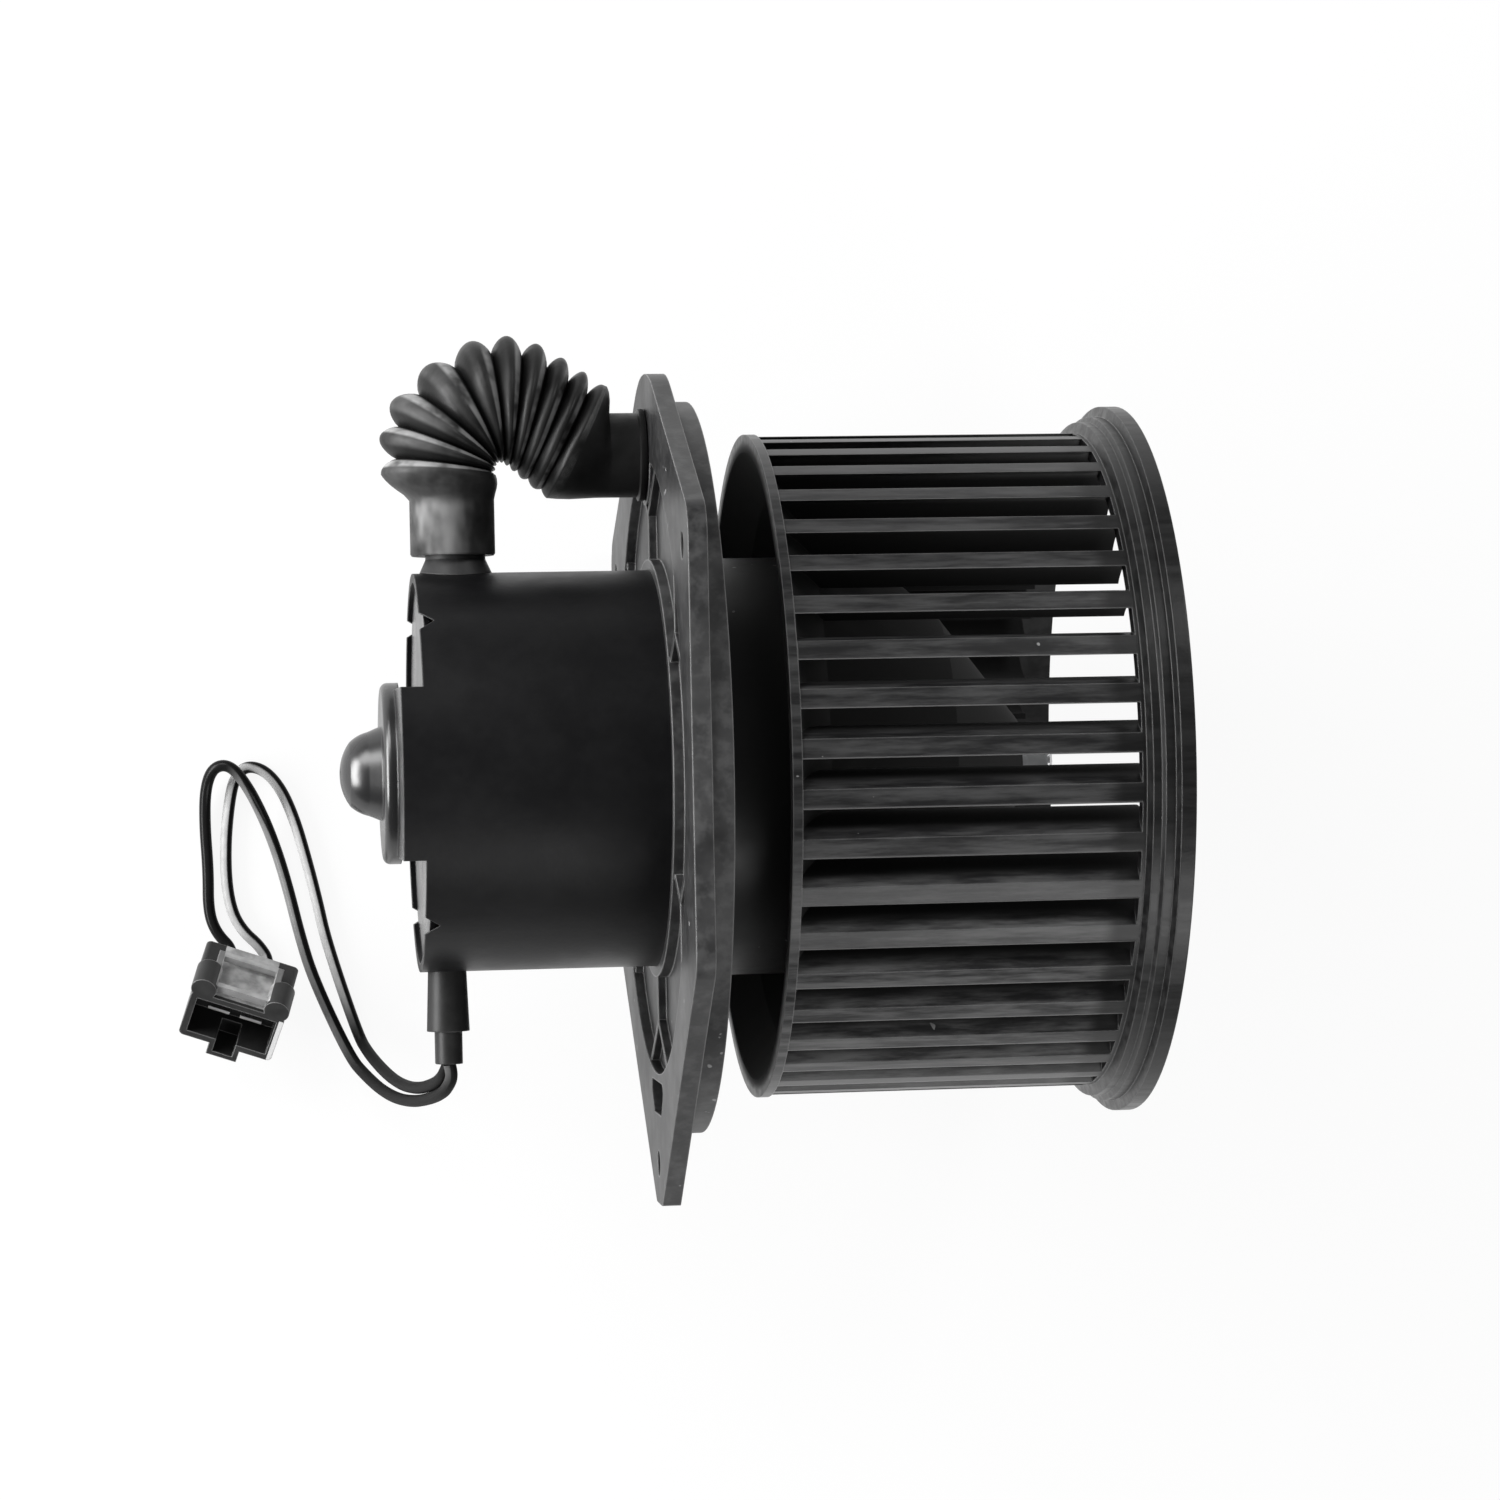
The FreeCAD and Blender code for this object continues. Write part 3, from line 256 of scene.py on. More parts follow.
LOOP_HALF_WIDTH = 5.6 * MM
LOOP_FOOT = PLUG_HALF_HEIGHT + 0.9 * MM
LOOP_REAR = -7.1 * MM
LEDGE_HALF_WIDTH = 6.2 * MM
LEDGE_FOOT = PLUG_HALF_HEIGHT - 0.2 * MM
LEDGE_FRONT = -1.0 * MM
WALL_INSIDE = PLUG_HALF_WIDTH - 1.1 * MM
WALL_TOP = PLUG_HALF_HEIGHT - 1.0 * MM

# Where the looks of the fan wheel change: radii over the rims of the blades, heights down its lower
# half, and places along the shaft at its inlet ring

BLADE_RIM = (65.5 * MM, 69.0 * MM)
LOWER_HALF = (-10.0 * MM, -45.0 * MM)
INLET_RING = (79.0 * MM, 83.0 * MM)

# Where the looks of the hose change, along the shaft and away from it, and the name of its mesh
# attribute. That counts the rings from the neck, so its fraction is the place within a ring, and it
# is 0 off the rings.

HOSE_LEFT = (-34.0 * MM, -52.0 * MM)
CUFF_END = (55.0 * MM, 58.0 * MM)
RING_PLACE = "ring_place"

# Where the wires turn from rough in their bend under the boot to shiny, and which way the side
# faces that gets a painted highlight band

WIRE_BEND = (-66.0 * MM, -54.0 * MM)
HIGHLIGHT_FACES = (-0.75, 0.0, 0.66)


# Finishes

def tone(colour, share=1.0):
    """An RGBA value from a colour, darker with a smaller share."""
    return (colour[0] * share, colour[1] * share, colour[2] * share, 1.0)


def handled_black(name, colour, edge, rough, dust, edge_radius=EDGE_RADIUS, specular=PLASTIC_SHINE,
                  crumbs=0.0, clean_from=1.0):
    """Black paint or plastic with crumbs, painted edge highlights, and dust up to clean_from along
    the shaft.
    """
    shader = Shader(name)
    normal, sharp = shader.edges(edge_radius)
    cloud = shader.noise(45.0, 4.0, 0.6)
    mottle = shader.noise(260.0, 3.0, 0.6)
    upward = shader.facing(0.0, 0.0, 1.0).clamped()
    along = shader.parts(shader.place)[0]
    dusty = 1.0 - along.ramp(clean_from, clean_from + DUST_FADE)
    spread = cloud.ramp(0.35, 0.7) * 0.5 + mottle.ramp(0.4, 0.7) * 0.5
    film = spread * dust * (0.4 + 0.6 * upward) * dusty
    body = shader.mix(film.clamped(), tone(colour), DUST_AND_LIGHT)
    # Painted highlight: sharp edges are mixed towards the pale edge colour
    body = shader.mix(sharp * 0.75, body, tone(edge))
    if crumbs:
        body = shader.mix(shader.specks(0.745, 0.56) * crumbs, body, CRUMB)
    shader.even("Specular IOR Level", specular)
    roughness = cloud.ramp(0.3, 0.7, rough - 0.05, rough + 0.07)
    return shader.finish(base_color=body, roughness=roughness, normal=shader.grain(normal))


def fan_plastic(name, colour, edge, dust):
    """Fan plastic: dusty on the outer rims of the blades, painted highlights along sharp edges
    there, and painted shade in black inside the wheel and on the inlet ring.
    """
    shader = Shader(name)
    normal, sharp = shader.edges()
    x, y, z = shader.parts(shader.place)
    outside = ((y * y + z * z) ** 0.5).ramp(*BLADE_RIM)
    lower = y.ramp(*LOWER_HALF)
    ring = x.ramp(*INLET_RING)
    streaks = shader.noise(420.0, 5.0, 0.65, (0.12, 1.0, 1.0))
    film = streaks.ramp(0.34, 0.70) * outside * (0.7 + lower) * (1.0 - ring * 0.85) * dust
    # Painted shade: black inside the rims of the blades, and mostly black on the inlet ring
    body = shader.mix(outside, PAINTED_SHADE, tone(colour))
    body = shader.mix(ring * 0.7, body, PAINTED_SHADE)
    body = shader.mix(film.clamped(), body, DUST_AND_LIGHT)
    # Painted highlight along sharp edges, strongest on the outer rims and weaker on the inlet ring
    body = shader.mix(sharp * (0.10 + outside * 0.7) * (1.0 - ring * 0.45), body, tone(edge))
    body = shader.mix(shader.specks(0.76, 0.60) * outside * 0.5, body, CRUMB)
    shader.even("Specular IOR Level", PLASTIC_SHINE)
    roughness = 0.85 - outside * streaks.ramp(0.3, 0.7, 0.57, 0.43)
    return shader.finish(base_color=body, roughness=roughness, normal=shader.grain(normal))


def hose_rubber(name, colour, dust):
    """Rubber of the hose: painted highlight beside each groove and painted shade in it, paler to
    the left as painted light, and a cuff with scuffs and painted highlights.
    """
    shader = Shader(name)
    attribute = shader.add("ShaderNodeAttribute", {"attribute_name": RING_PLACE}, {})
    mark = Wire(shader, attribute.outputs["Fac"])
    on_rings = mark > 0.01
    share = mark.fraction()
    x, y, _ = shader.parts(shader.place)
    left = x.ramp(*HOSE_LEFT)
    broken = shader.noise(110.0, 3.0, 0.6).ramp(0.34, 0.62)
    # Painted highlight on the flank just before each groove, and painted shade in the groove and on
    # the flank after it
    groove_highlight = share.ramp(0.16, 0.26) * (1.0 - share.ramp(0.38, 0.46)) * broken * on_rings
    groove = share.ramp(0.40, 0.48) * (1.0 - share.ramp(0.76, 0.92)) * on_rings
    cuff = (1.0 - y.ramp(*CUFF_END)) * left
    # Pale blotches along the cuff, partly scuffs and partly painted highlights
    scuff_and_highlight = shader.noise(75.0, 3.0, 0.6, (1.0, 0.45, 1.0)).ramp(0.50, 0.66) * cuff
    # Dust, much heavier on the left part of the hose, where it also stands for painted light; the
    # painted highlights beside the grooves are stronger there too
    film = shader.noise(60.0, 4.0, 0.6).ramp(0.3, 0.7) * (0.1 + 0.9 * left) * dust
    body = shader.mix(film.clamped(), tone(colour), DUST_AND_LIGHT)
    body = shader.mix(groove * 0.9, body, PAINTED_SHADE)
    body = shader.mix(groove_highlight * (0.45 + left * 0.4), body, SCUFF_AND_HIGHLIGHT)
    body = shader.mix(scuff_and_highlight * 0.55, body, SCUFF_AND_HIGHLIGHT)
    shader.even("Specular IOR Level", 0.18)
    return shader.finish(base_color=body, roughness=broken.ramp(0.0, 1.0, 0.36, 0.5),
                         normal=shader.bump(shader.noise(350.0, 3.0), 0.08 * MM))


def polished_black(name, colour, rough, specular):
    """Glossy black enamel with faint ripples and a painted highlight along sharp edges."""
    shader = Shader(name)
    normal, sharp = shader.edges(0.5 * MM, gain=2.0)
    # Painted highlight: sharp edges are mixed towards grey
    body = shader.mix(sharp * 0.4, tone(colour), (0.12, 0.12, 0.12, 1.0))
    shader.even("Specular IOR Level", specular)
    roughness = shader.noise(60.0).ramp(0.3, 0.7, rough, rough + 0.08)
    return shader.finish(base_color=body, roughness=roughness,
                         normal=shader.bump(shader.noise(140.0), 0.03 * MM, normal))


def bright_metal(name, colour, rough):
    """Bare or plated metal."""
    shader = Shader(name)
    cloud = shader.noise(200.0)
    body = shader.mix(cloud, tone(colour), tone(colour, 0.75))
    shader.even("Metallic", 1.0)
    return shader.finish(base_color=body, roughness=cloud.ramp(0.3, 0.7, rough, rough + 0.12),
                         normal=shader.edges(0.2 * MM)[0])


def plain_stuff(name, colour, rough):
    """A dull even material for pieces inside the can."""
    shader = Shader(name)
    cloud = shader.noise(300.0)
    body = shader.mix(cloud * 0.5, tone(colour), tone(colour, 0.6))
    return shader.finish(base_color=body, roughness=cloud.ramp(0.3, 0.7, rough, rough + 0.1),
                         normal=shader.bump(cloud, 0.03 * MM))


def wound_copper(name, colour):
    """Fine enamelled copper wire, lying side by side."""
    shader = Shader(name)
    along = shader.parts(shader.place)[0]
    turns = (along * 9000.0 + shader.noise(150.0) * 3.0).sine()
    body = shader.mix(turns.ramp(-1.0, 1.0), tone(colour, 0.45), tone(colour))
    shader.even("Metallic", 0.6)
    shader.even("Roughness", 0.35)
    return shader.finish(base_color=body, normal=shader.bump(turns, 0.08 * MM))


def cable_skin(name, colour, painted_side_highlight, width, reach_y, reach_x):
    """Insulation with a soft sheen, and a painted highlight band on the side facing up and left,
    above reach_y and to the right of reach_x.
    """
    shader = Shader(name)
    cloud = shader.noise(500.0)
    x, y, _ = shader.parts(shader.place)
    highlight_band = shader.facing(*HIGHLIGHT_FACES).ramp(1.0 - width, 1.0 - width * 0.6)
    there = (y.ramp(reach_y - 6.0 * MM, reach_y + 6.0 * MM)
             * x.ramp(reach_x - 3.0 * MM, reach_x + 3.0 * MM))
    body = shader.mix(cloud * 0.2, tone(colour), (0.02, 0.02, 0.02, 1.0))
    # Painted highlight: a pale band where the surface faces up and to the left
    body = shader.mix(highlight_band * there * (0.65 + 0.35 * cloud), body, tone(painted_side_highlight))
    shader.even("Specular IOR Level", PLASTIC_SHINE)
    shader.even("IOR", 1.25)
    return shader.finish(base_color=body, roughness=y.ramp(*WIRE_BEND, 0.65, 0.24))


def plug_plastic(name, colour, edge):
    """Plastic of the connector, with painted reflections on its latch loop, ledge and right wall,
    and painted highlights along sharp edges.
    """
    shader = Shader(name)
    normal, sharp = shader.edges()
    x, y, z = shader.parts(shader.place)
    turn, tilt = math.radians(PLUG_TURN), math.radians(PLUG_TILT)
    from_x, from_y, from_z = x - PLUG_FRONT[0], y - PLUG_FRONT[1], z - PLUG_FRONT[2]
    across = from_x * math.cos(turn) + from_y * math.sin(turn)
    forward = from_x * math.sin(turn) - from_y * math.cos(turn)
    mating = forward * math.cos(tilt) + from_z * math.sin(tilt)
    height = from_z * math.cos(tilt) - forward * math.sin(tilt)
    off_middle = (across * across) ** 0.5
    loop_plan = ((off_middle < LOOP_HALF_WIDTH) + (mating < LOOP_REAR)).clamped()
    loop = (height > LOOP_FOOT) * loop_plan
    ledge = (height > LEDGE_FOOT) * (off_middle < LEDGE_HALF_WIDTH) * (mating < LEDGE_FRONT)
    wall = (across > WALL_INSIDE) * (height < WALL_TOP)
    cloud = shader.noise(300.0, 3.0)
    body = shader.mix(cloud * 0.06, tone(colour), DUST_AND_LIGHT)
    # Painted reflections: the ledge, the latch loop and the right wall are mixed towards pale greys
    body = shader.mix(ledge * cloud.ramp(0.3, 0.7, 0.5, 1.0), body, (0.48, 0.48, 0.48, 1.0))
    body = shader.mix(loop * (0.3 + 0.3 * cloud), body, (0.34, 0.34, 0.34, 1.0))
    body = shader.mix(wall * 0.85, body, (0.62, 0.62, 0.62, 1.0))
    # Painted highlight along sharp edges
    body = shader.mix(sharp * 0.6, body, tone(edge))
    shader.even("Specular IOR Level", PLASTIC_SHINE)
    return shader.finish(base_color=body, roughness=cloud.ramp(0.3, 0.7, 0.28, 0.4),
                         normal=shader.grain(normal))


def wear(node, material):
    """Gives a CAD node one material."""
    data = NODES[node].data
    data.materials.clear()
    data.materials.append(material)


# Sizes and colours that can be changed

def colour_setting(name, description, default):
    """A colour that can be changed."""
    return bpy.props.FloatVectorProperty(
        name=name, description=description, subtype="COLOR", default=default, min=0.0, max=1.0)


def length_setting(name, description, default):
    """A length that can be changed."""
    return bpy.props.FloatProperty(
        name=name, description=description, unit="LENGTH", default=default, min=0.0)


def light_setting(name, description, default):
    """The power or strength of a light that can be changed."""
    return bpy.props.FloatProperty(name=name, description=description, default=default, min=0.0)


class BlowerFinish(bpy.types.PropertyGroup):
    """Colours of the blower motor."""

    can: colour_setting("Can paint", "Paint of the motor can", (0.004, 0.004, 0.0045))
    tail: colour_setting(
        "End plate paint", "Glossy paint of the end plate and its dome", (0.004, 0.004, 0.0045))
    flange: colour_setting("Flange plastic", "Plastic of the flange", (0.012, 0.012, 0.0125))
    fan: colour_setting("Fan plastic", "Plastic of the fan wheel", (0.009, 0.009, 0.0095))
    # Colour of the painted highlight along sharp edges of the plastic, paint and rubber
    painted_edge_highlight: colour_setting("Worn edge", "Paler plastic along the edges", (0.14, 0.14, 0.14))
    rubber: colour_setting("Hose rubber", "Rubber of the hose and the boot", (0.008, 0.008, 0.008))
    cable: colour_setting("Insulation", "Insulation of both wires", (0.006, 0.006, 0.006))
    # Colour of the painted highlight band along the side of the wires that faces up and left
    painted_side_highlight: colour_setting("Stripe", "Stripe along the wires", (0.42, 0.42, 0.42))
    plug: colour_setting("Plug plastic", "Plastic of the connector", (0.010, 0.010, 0.010))
    dust: bpy.props.FloatProperty(
        name="Dust", description="Share of dust on the plastic", subtype="FACTOR", default=0.06,
        min=0.0, max=1.0)


class BlowerHose(bpy.types.PropertyGroup):
    """Sizes of the corrugated hose and the wires."""

    ring_count: bpy.props.IntProperty(
        name="Rings", description="Number of bulging rings on the hose", default=10, min=4, max=20)
    groove_depth: length_setting("Groove depth", "Depth of the grooves between the rings", 2.3 * MM)
    wall: length_setting("Wall", "Wall of the hose", 1.3 * MM)
    wire_radius: length_setting("Wire radius", "Radius over the insulation of a wire", 1.32 * MM)


class BlowerStage(bpy.types.PropertyGroup):
    """Camera and light."""

    lens: bpy.props.FloatProperty(
        name="Lens", description="Focal length on a 36 mm sensor, in millimetres", default=100.4,
        min=10.0)
    turn: bpy.props.FloatProperty(
        name="Turn", description="Angle of the view off the plumb line, towards the fan",
        subtype="ANGLE", default=math.radians(7.29))
    key: light_setting("Key light", "Power of the main softbox", 6.0)
    fill: light_setting("Fill light", "Power of the fill softbox", 4.5)
    strip: light_setting("Left strip", "Power of the tall strip light on the left", 13.0)
    right: light_setting("Right light", "Power of the softbox on the upper right", 2.5)
    sky: light_setting("Room light", "Strength of the even light all round", 0.25)


def put(context, name, data):
    """A new object in the scene."""
    thing = bpy.data.objects.new(name, data)
    context.scene.collection.objects.link(thing)
    return thing


# Corrugated hose. Its guide lines are those of the solid hose, in the plane of the shaft: points in
# millimetres at stations that are numbered in rings.

NECK_X = -44.2 * MM
NECK_R = 6.35 * MM
CUFF_X = NECK_X - 0.5 * MM
CUFF_R = 8.9 * MM
CUFF_FOOT_Y = 45.4 * MM
CUFF_TOP_Y = 57.6 * MM
CUFF_SWELL = (0.15, 0.35, 0.55, 0.75, 0.9)
OUTER_STATIONS = {
    0: (-59.4, 62.7), 2: (-56.9, 77.9), 4: (-40.5, 90.3), 7: (-20.6, 86.6), 9: (-12.3, 80.9)}
INNER_STATIONS = {
    0: (-35.6, 62.2), 3: (-34.7, 64.9), 5: (-33.0, 64.3), 7: (-30.0, 61.6), 9: (-24.7, 57.3)}
LAST_STATION = 9.0

# The flank of the last ring: outer and inner points in millimetres, down to the cuff on the port

LAST_FLANK = (
    ((-11.6, 80.6), (-22.6, 57.1)), ((-11.2, 79.5), (-20.0, 57.0)), ((-11.1, 78.0), (-17.0, 57.1)),
    ((-11.3, 76.4), (-14.6, 57.2)), ((-11.5, 75.1), (-12.4, 57.2)))
PORT_CUFF_X = -11.5 * MM
PORT_FOOT_X = -4.05 * MM
PORT_Y = 66.1 * MM
PORT_R = 6.65 * MM
LIP_R = 9.7 * MM
LIP_T = 1.3 * MM

# Shape of a groove: how round its rings are, and how its depth is shared out to the outer and the
# inner side of the hose's bend

GROOVE_ROUND = 0.8
OUTER_SHARE = 1.6
INNER_SHARE = 0.4

# The first and last circles that only the outside has, the play over the neck and the port, and the
# small offset that keeps the ring numbers of the mesh attribute off 0

FOOT_CIRCLES = 3
LIP_CIRCLES = 5
PLAY = 0.05 * MM
RING_OFFSET = 0.02

STEPS_PER_RING = 14
SIDES = 72
CREASE = math.radians(50.0)
LEFT = Vector((-1.0, 0.0, 0.0))
UP = Vector((0.0, 1.0, 0.0))


def flat(x, y):
    """A point in the plane of the shaft, from millimetres."""
    return Vector((x * MM, y * MM, 0.0))


def natural_curve(stations):
    """A function that runs a smooth natural cubic curve through numbered stations, in metres."""
    places = sorted(stations)
    points = [flat(*stations[k]) for k in places]
    count = len(places)
    gaps = [places[i + 1] - places[i] for i in range(count - 1)]
    bends = [Vector((0.0, 0.0, 0.0)) for _ in range(count)]
    diagonal = [1.0] * count
    upper = [0.0] * count
    right = [Vector((0.0, 0.0, 0.0)) for _ in range(count)]
    for i in range(1, count - 1):
        slope_after = (points[i + 1] - points[i]) / gaps[i]
        slope_before = (points[i] - points[i - 1]) / gaps[i - 1]
        diagonal[i] = 2.0 * (gaps[i - 1] + gaps[i]) - gaps[i - 1] * upper[i - 1]
        upper[i] = gaps[i] / diagonal[i]
        right[i] = (6.0 * (slope_after - slope_before) - gaps[i - 1] * right[i - 1]) / diagonal[i]
    for i in range(count - 2, 0, -1):
        bends[i] = right[i] - upper[i] * bends[i + 1]

    def at(place):
        i = min(max(sum(1 for k in places if k <= place) - 1, 0), count - 2)
        gap = gaps[i]
        after = (place - places[i]) / gap
        before = 1.0 - after
        bulge = (before ** 3 - before) * bends[i] + (after ** 3 - after) * bends[i + 1]
        return points[i] * before + points[i + 1] * after + bulge * gap * gap / 6.0

    return at


def ring_pair(outer, inner, shrink):
    """Centre, side direction and radius of a circle across the hose."""
    across = outer - inner
    return (outer + inner) * 0.5, across.normalized(), across.length * 0.5 - shrink


def hose_circles(shrink, rings, depth):
    """Circles from the neck's cuff to the port: centre, side direction, radius and ring place."""
    outer_at = natural_curve(OUTER_STATIONS)
    inner_at = natural_curve(INNER_STATIONS)
    circles = []

    def straight(x, y, radius, side):
        circles.append((Vector((x, y, 0.0)), side, radius - shrink, 0.0))

    for y, radius in ((CUFF_FOOT_Y, CUFF_R - 0.3 * MM), (CUFF_FOOT_Y + 0.4 * MM, CUFF_R),
                      (CUFF_TOP_Y - 0.5 * MM, CUFF_R)):
        straight(CUFF_X, y, radius, LEFT)

    first_r = (outer_at(0.0) - inner_at(0.0)).length * 0.5
    first_x = (outer_at(0.0).x + inner_at(0.0).x) * 0.5
    rise = outer_at(0.0).y - CUFF_TOP_Y
    for share in CUFF_SWELL:
        swell = math.sin(share * math.pi / 2.0)
        straight(CUFF_X + (first_x - CUFF_X) * share, CUFF_TOP_Y + rise * share,
                 CUFF_R + (first_r - CUFF_R) * swell, LEFT)

    for i in range((rings - 1) * STEPS_PER_RING + 1):
        place = i / STEPS_PER_RING
        station = place * LAST_STATION / (rings - 1)
        groove = depth * (1.0 - abs(math.cos(math.pi * place)) ** GROOVE_ROUND)
        outer, inner = outer_at(station), inner_at(station)
        inward = (inner - outer).normalized() * groove
        pair = ring_pair(outer + inward * OUTER_SHARE, inner - inward * INNER_SHARE, shrink)
        circles.append(pair + (place + RING_OFFSET,))

    for outer, inner in LAST_FLANK:
        circles.append(ring_pair(flat(*outer), flat(*inner), shrink) + (0.0,))
    for x, radius in ((PORT_CUFF_X, CUFF_R), (PORT_FOOT_X - LIP_T - 0.3 * MM, CUFF_R),
                      (PORT_FOOT_X - LIP_T, LIP_R), (PORT_FOOT_X - 0.2 * MM, LIP_R),
                      (PORT_FOOT_X, LIP_R - 0.2 * MM)):
        straight(x, PORT_Y, radius, UP)
    return circles


def tube_mesh(name, circles, inside, mouth_radii):
    """A closed tube mesh: the outer circles one way and the inner circles back."""
    loops = list(circles)
    loops.append(circles[-1][:2] + (mouth_radii[1], 0.0))
    loops += reversed(inside)
    loops.append(circles[0][:2] + (mouth_radii[0], 0.0))
    vertices = []
    for centre, side, radius, _ in loops:
        for k in range(SIDES):
            angle = 2.0 * math.pi * k / SIDES
            around = Vector((0.0, 0.0, radius * math.sin(angle)))
            vertices.append(centre + side * (radius * math.cos(angle)) + around)
    faces = []
    count = len(loops)
    for i in range(count):
        after = (i + 1) % count
        for k in range(SIDES):
            turn = (k + 1) % SIDES
            faces.append((i * SIDES + k, i * SIDES + turn, after * SIDES + turn, after * SIDES + k))
    mesh = bpy.data.meshes.new(name)
    mesh.from_pydata(vertices, [], faces)
    marks = mesh.attributes.new(RING_PLACE, "FLOAT", "POINT")
    marks.data.foreach_set("value", [loop[3] for loop in loops for _ in range(SIDES)])
    mesh.shade_smooth()
    mesh.set_sharp_from_angle(angle=CREASE)
    return mesh


# Leads. The routes are those of the solid wires, in millimetres, but for the bend under the boot,
# whose points are moved to follow the photograph. LIE is the height of a wire's middle on
# the floor. The lengths, in metres, are those of the solid wires along their middles.

LIE = -76.65
STRIPED_ROUTE = [
    (-47.7, -61, 1.45), (-47.1, -63.2, 1), (-47.6, -65.4, -1), (-48.7, -67.7, -6.3),
    (-50.9, -69.8, -18), (-53.7, -71.4, -31), (-56.8, -71.8, -45), (-59.8, -70.7, -57.5),
    (-62.8, -68.2, -67), (-66.1, -64.5, LIE + 3.45), (-74, -46.5, LIE), (-76.9, -36.2, LIE),
    (-79.1, -26.4, LIE), (-81.6, -17.3, LIE), (-84.5, -9.4, LIE + 1.7), (-88, -2.3, LIE + 5.8),
    (-91.7, 2.5, LIE + 5.8), (-95.5, 2.1, LIE + 4.5), (-97.4, -2.6, LIE + 1.8), (-97.7, -11, LIE),
    (-97.1, -21.4, LIE), (-97.3, -30.5, LIE), (-95.6, -35.6, LIE), (-91.63, -39.74, -76.37),
    (-92.63, -42.66, LIE + 3.95)]
PLAIN_ROUTE = [
    (-47.7, -61, -1.45), (-48.4, -62.8, -2), (-49.1, -64.7, -6.3), (-50.4, -66.4, -13.5),
    (-52.7, -68.1, -25), (-55.1, -68.6, -38), (-57.4, -67.9, -50.5), (-59.8, -65.9, -61.5),
    (-62.1, -63.2, LIE + 6.65), (-64.1, -59.7, LIE + 1.65), (-70.8, -38.4, LIE),
    (-72.8, -28.4, LIE), (-75.1, -18.8, LIE), (-77.4, -10.3, LIE), (-80.3, -3.2, LIE),
    (-84, 1.2, LIE), (-88.1, 2.2, LIE), (-90.8, -0.5, LIE), (-92.1, -6.1, LIE),
    (-93.1, -15.2, LIE), (-93.1, -24.4, LIE), (-91.9, -31.2, LIE), (-89.4, -35.5, LIE),
    (-86, -38.6, LIE), (-83.69, -42.48, -76.37), (-84.69, -45.39, LIE + 3.95)]
STRIPED_LENGTH = 0.2146
PLAIN_LENGTH = 0.2062


def lead(context, name, route, radius, material):
    """A wire as a smooth curve through its route's control points."""
    curve = bpy.data.curves.new(name, "CURVE")
    curve.dimensions = "3D"
    curve.bevel_depth = radius
    curve.bevel_resolution = 6
    curve.resolution_u = 8
    curve.use_fill_caps = True
    spline = curve.splines.new("NURBS")
    spline.points.add(len(route) - 1)
    for point, (x, y, z) in zip(spline.points, route):
        point.co = (x * MM, y * MM, z * MM, 1.0)
    spline.order_u = 3
    spline.use_endpoint_u = True
    wire = put(context, name, curve)
    curve.materials.append(material)
    return wire


# Floor, lights and camera: lengths in metres

FLOOR_SIZE = 6.0
FLOOR_DROP = 0.2 * MM
FLOOR_GLOW = 0.9
SENSOR_WIDTH = 36.0
CAMERA_PLACE = (-0.0951, 0.00338, 0.8788)
CAMERA_ROLL = 0.0208

# Name, place, aim, width, height, and the setting that holds the power

LAMPS = (
    ("key_softbox", (-0.55, 0.65, 0.55), (0.0, 0.0, 0.0), 0.5, 0.5, "key"),
    ("fill_softbox", (0.35, -0.75, 0.65), (0.0, 0.0, 0.0), 0.6, 0.5, "fill"),
    ("left_strip", (-0.80, 0.05, 0.25), (-0.08, 0.0, 0.0), 0.8, 0.32, "strip"),
    ("right_softbox", (0.50, 0.60, 0.60), (-0.03, 0.05, 0.0), 0.3, 0.3, "right"))


# Operators, one for each group of pieces

class BLOWER_OT_motor(bpy.types.Operator):
    """Finishes the motor can, the end plate, the neck and the screws"""

    bl_idname = "blower.motor"
    bl_label = "Motor finishes"

    def execute(self, context):
        look = context.scene.blower_finish
        wear("motor_can", handled_black(
            "satin_can_paint", look.can, look.painted_edge_highlight, 0.4, look.dust * 0.15, specular=0.18))
        wear("end_plate", polished_black("end_plate_enamel", look.tail, 0.24, 0.9))
        wear("air_neck", handled_black(
            "neck_plastic", look.flange, look.painted_edge_highlight, 0.45, look.dust))
        wear("motor_screws", bright_metal("screw_zinc", (0.55, 0.56, 0.58), 0.3))
        return {"FINISHED"}


class BLOWER_OT_flange(bpy.types.Operator):
    """Finishes the mounting flange"""

    bl_idname = "blower.flange"
    bl_label = "Flange finish"

    def execute(self, context):
        look = context.scene.blower_finish
        wear("flange", handled_black(
            "flange_plastic", look.flange, (0.34, 0.34, 0.34), 0.42, look.dust * 3.6,
            edge_radius=0.5 * MM, crumbs=0.4, clean_from=6.0 * MM))
        return {"FINISHED"}


class BLOWER_OT_fan(bpy.types.Operator):
    """Finishes the fan wheel, its nut and its washer"""

    bl_idname = "blower.fan"
    bl_label = "Fan wheel finish"

    def execute(self, context):
        look = context.scene.blower_finish
        wear("fan_wheel", fan_plastic("fan_plastic", look.fan, (0.26, 0.26, 0.26), look.dust * 3.2))
        zinc = bright_metal("nut_zinc", (0.6, 0.61, 0.62), 0.28)
        wear("fan_nut", zinc)
        wear("fan_washer", zinc)
        return {"FINISHED"}


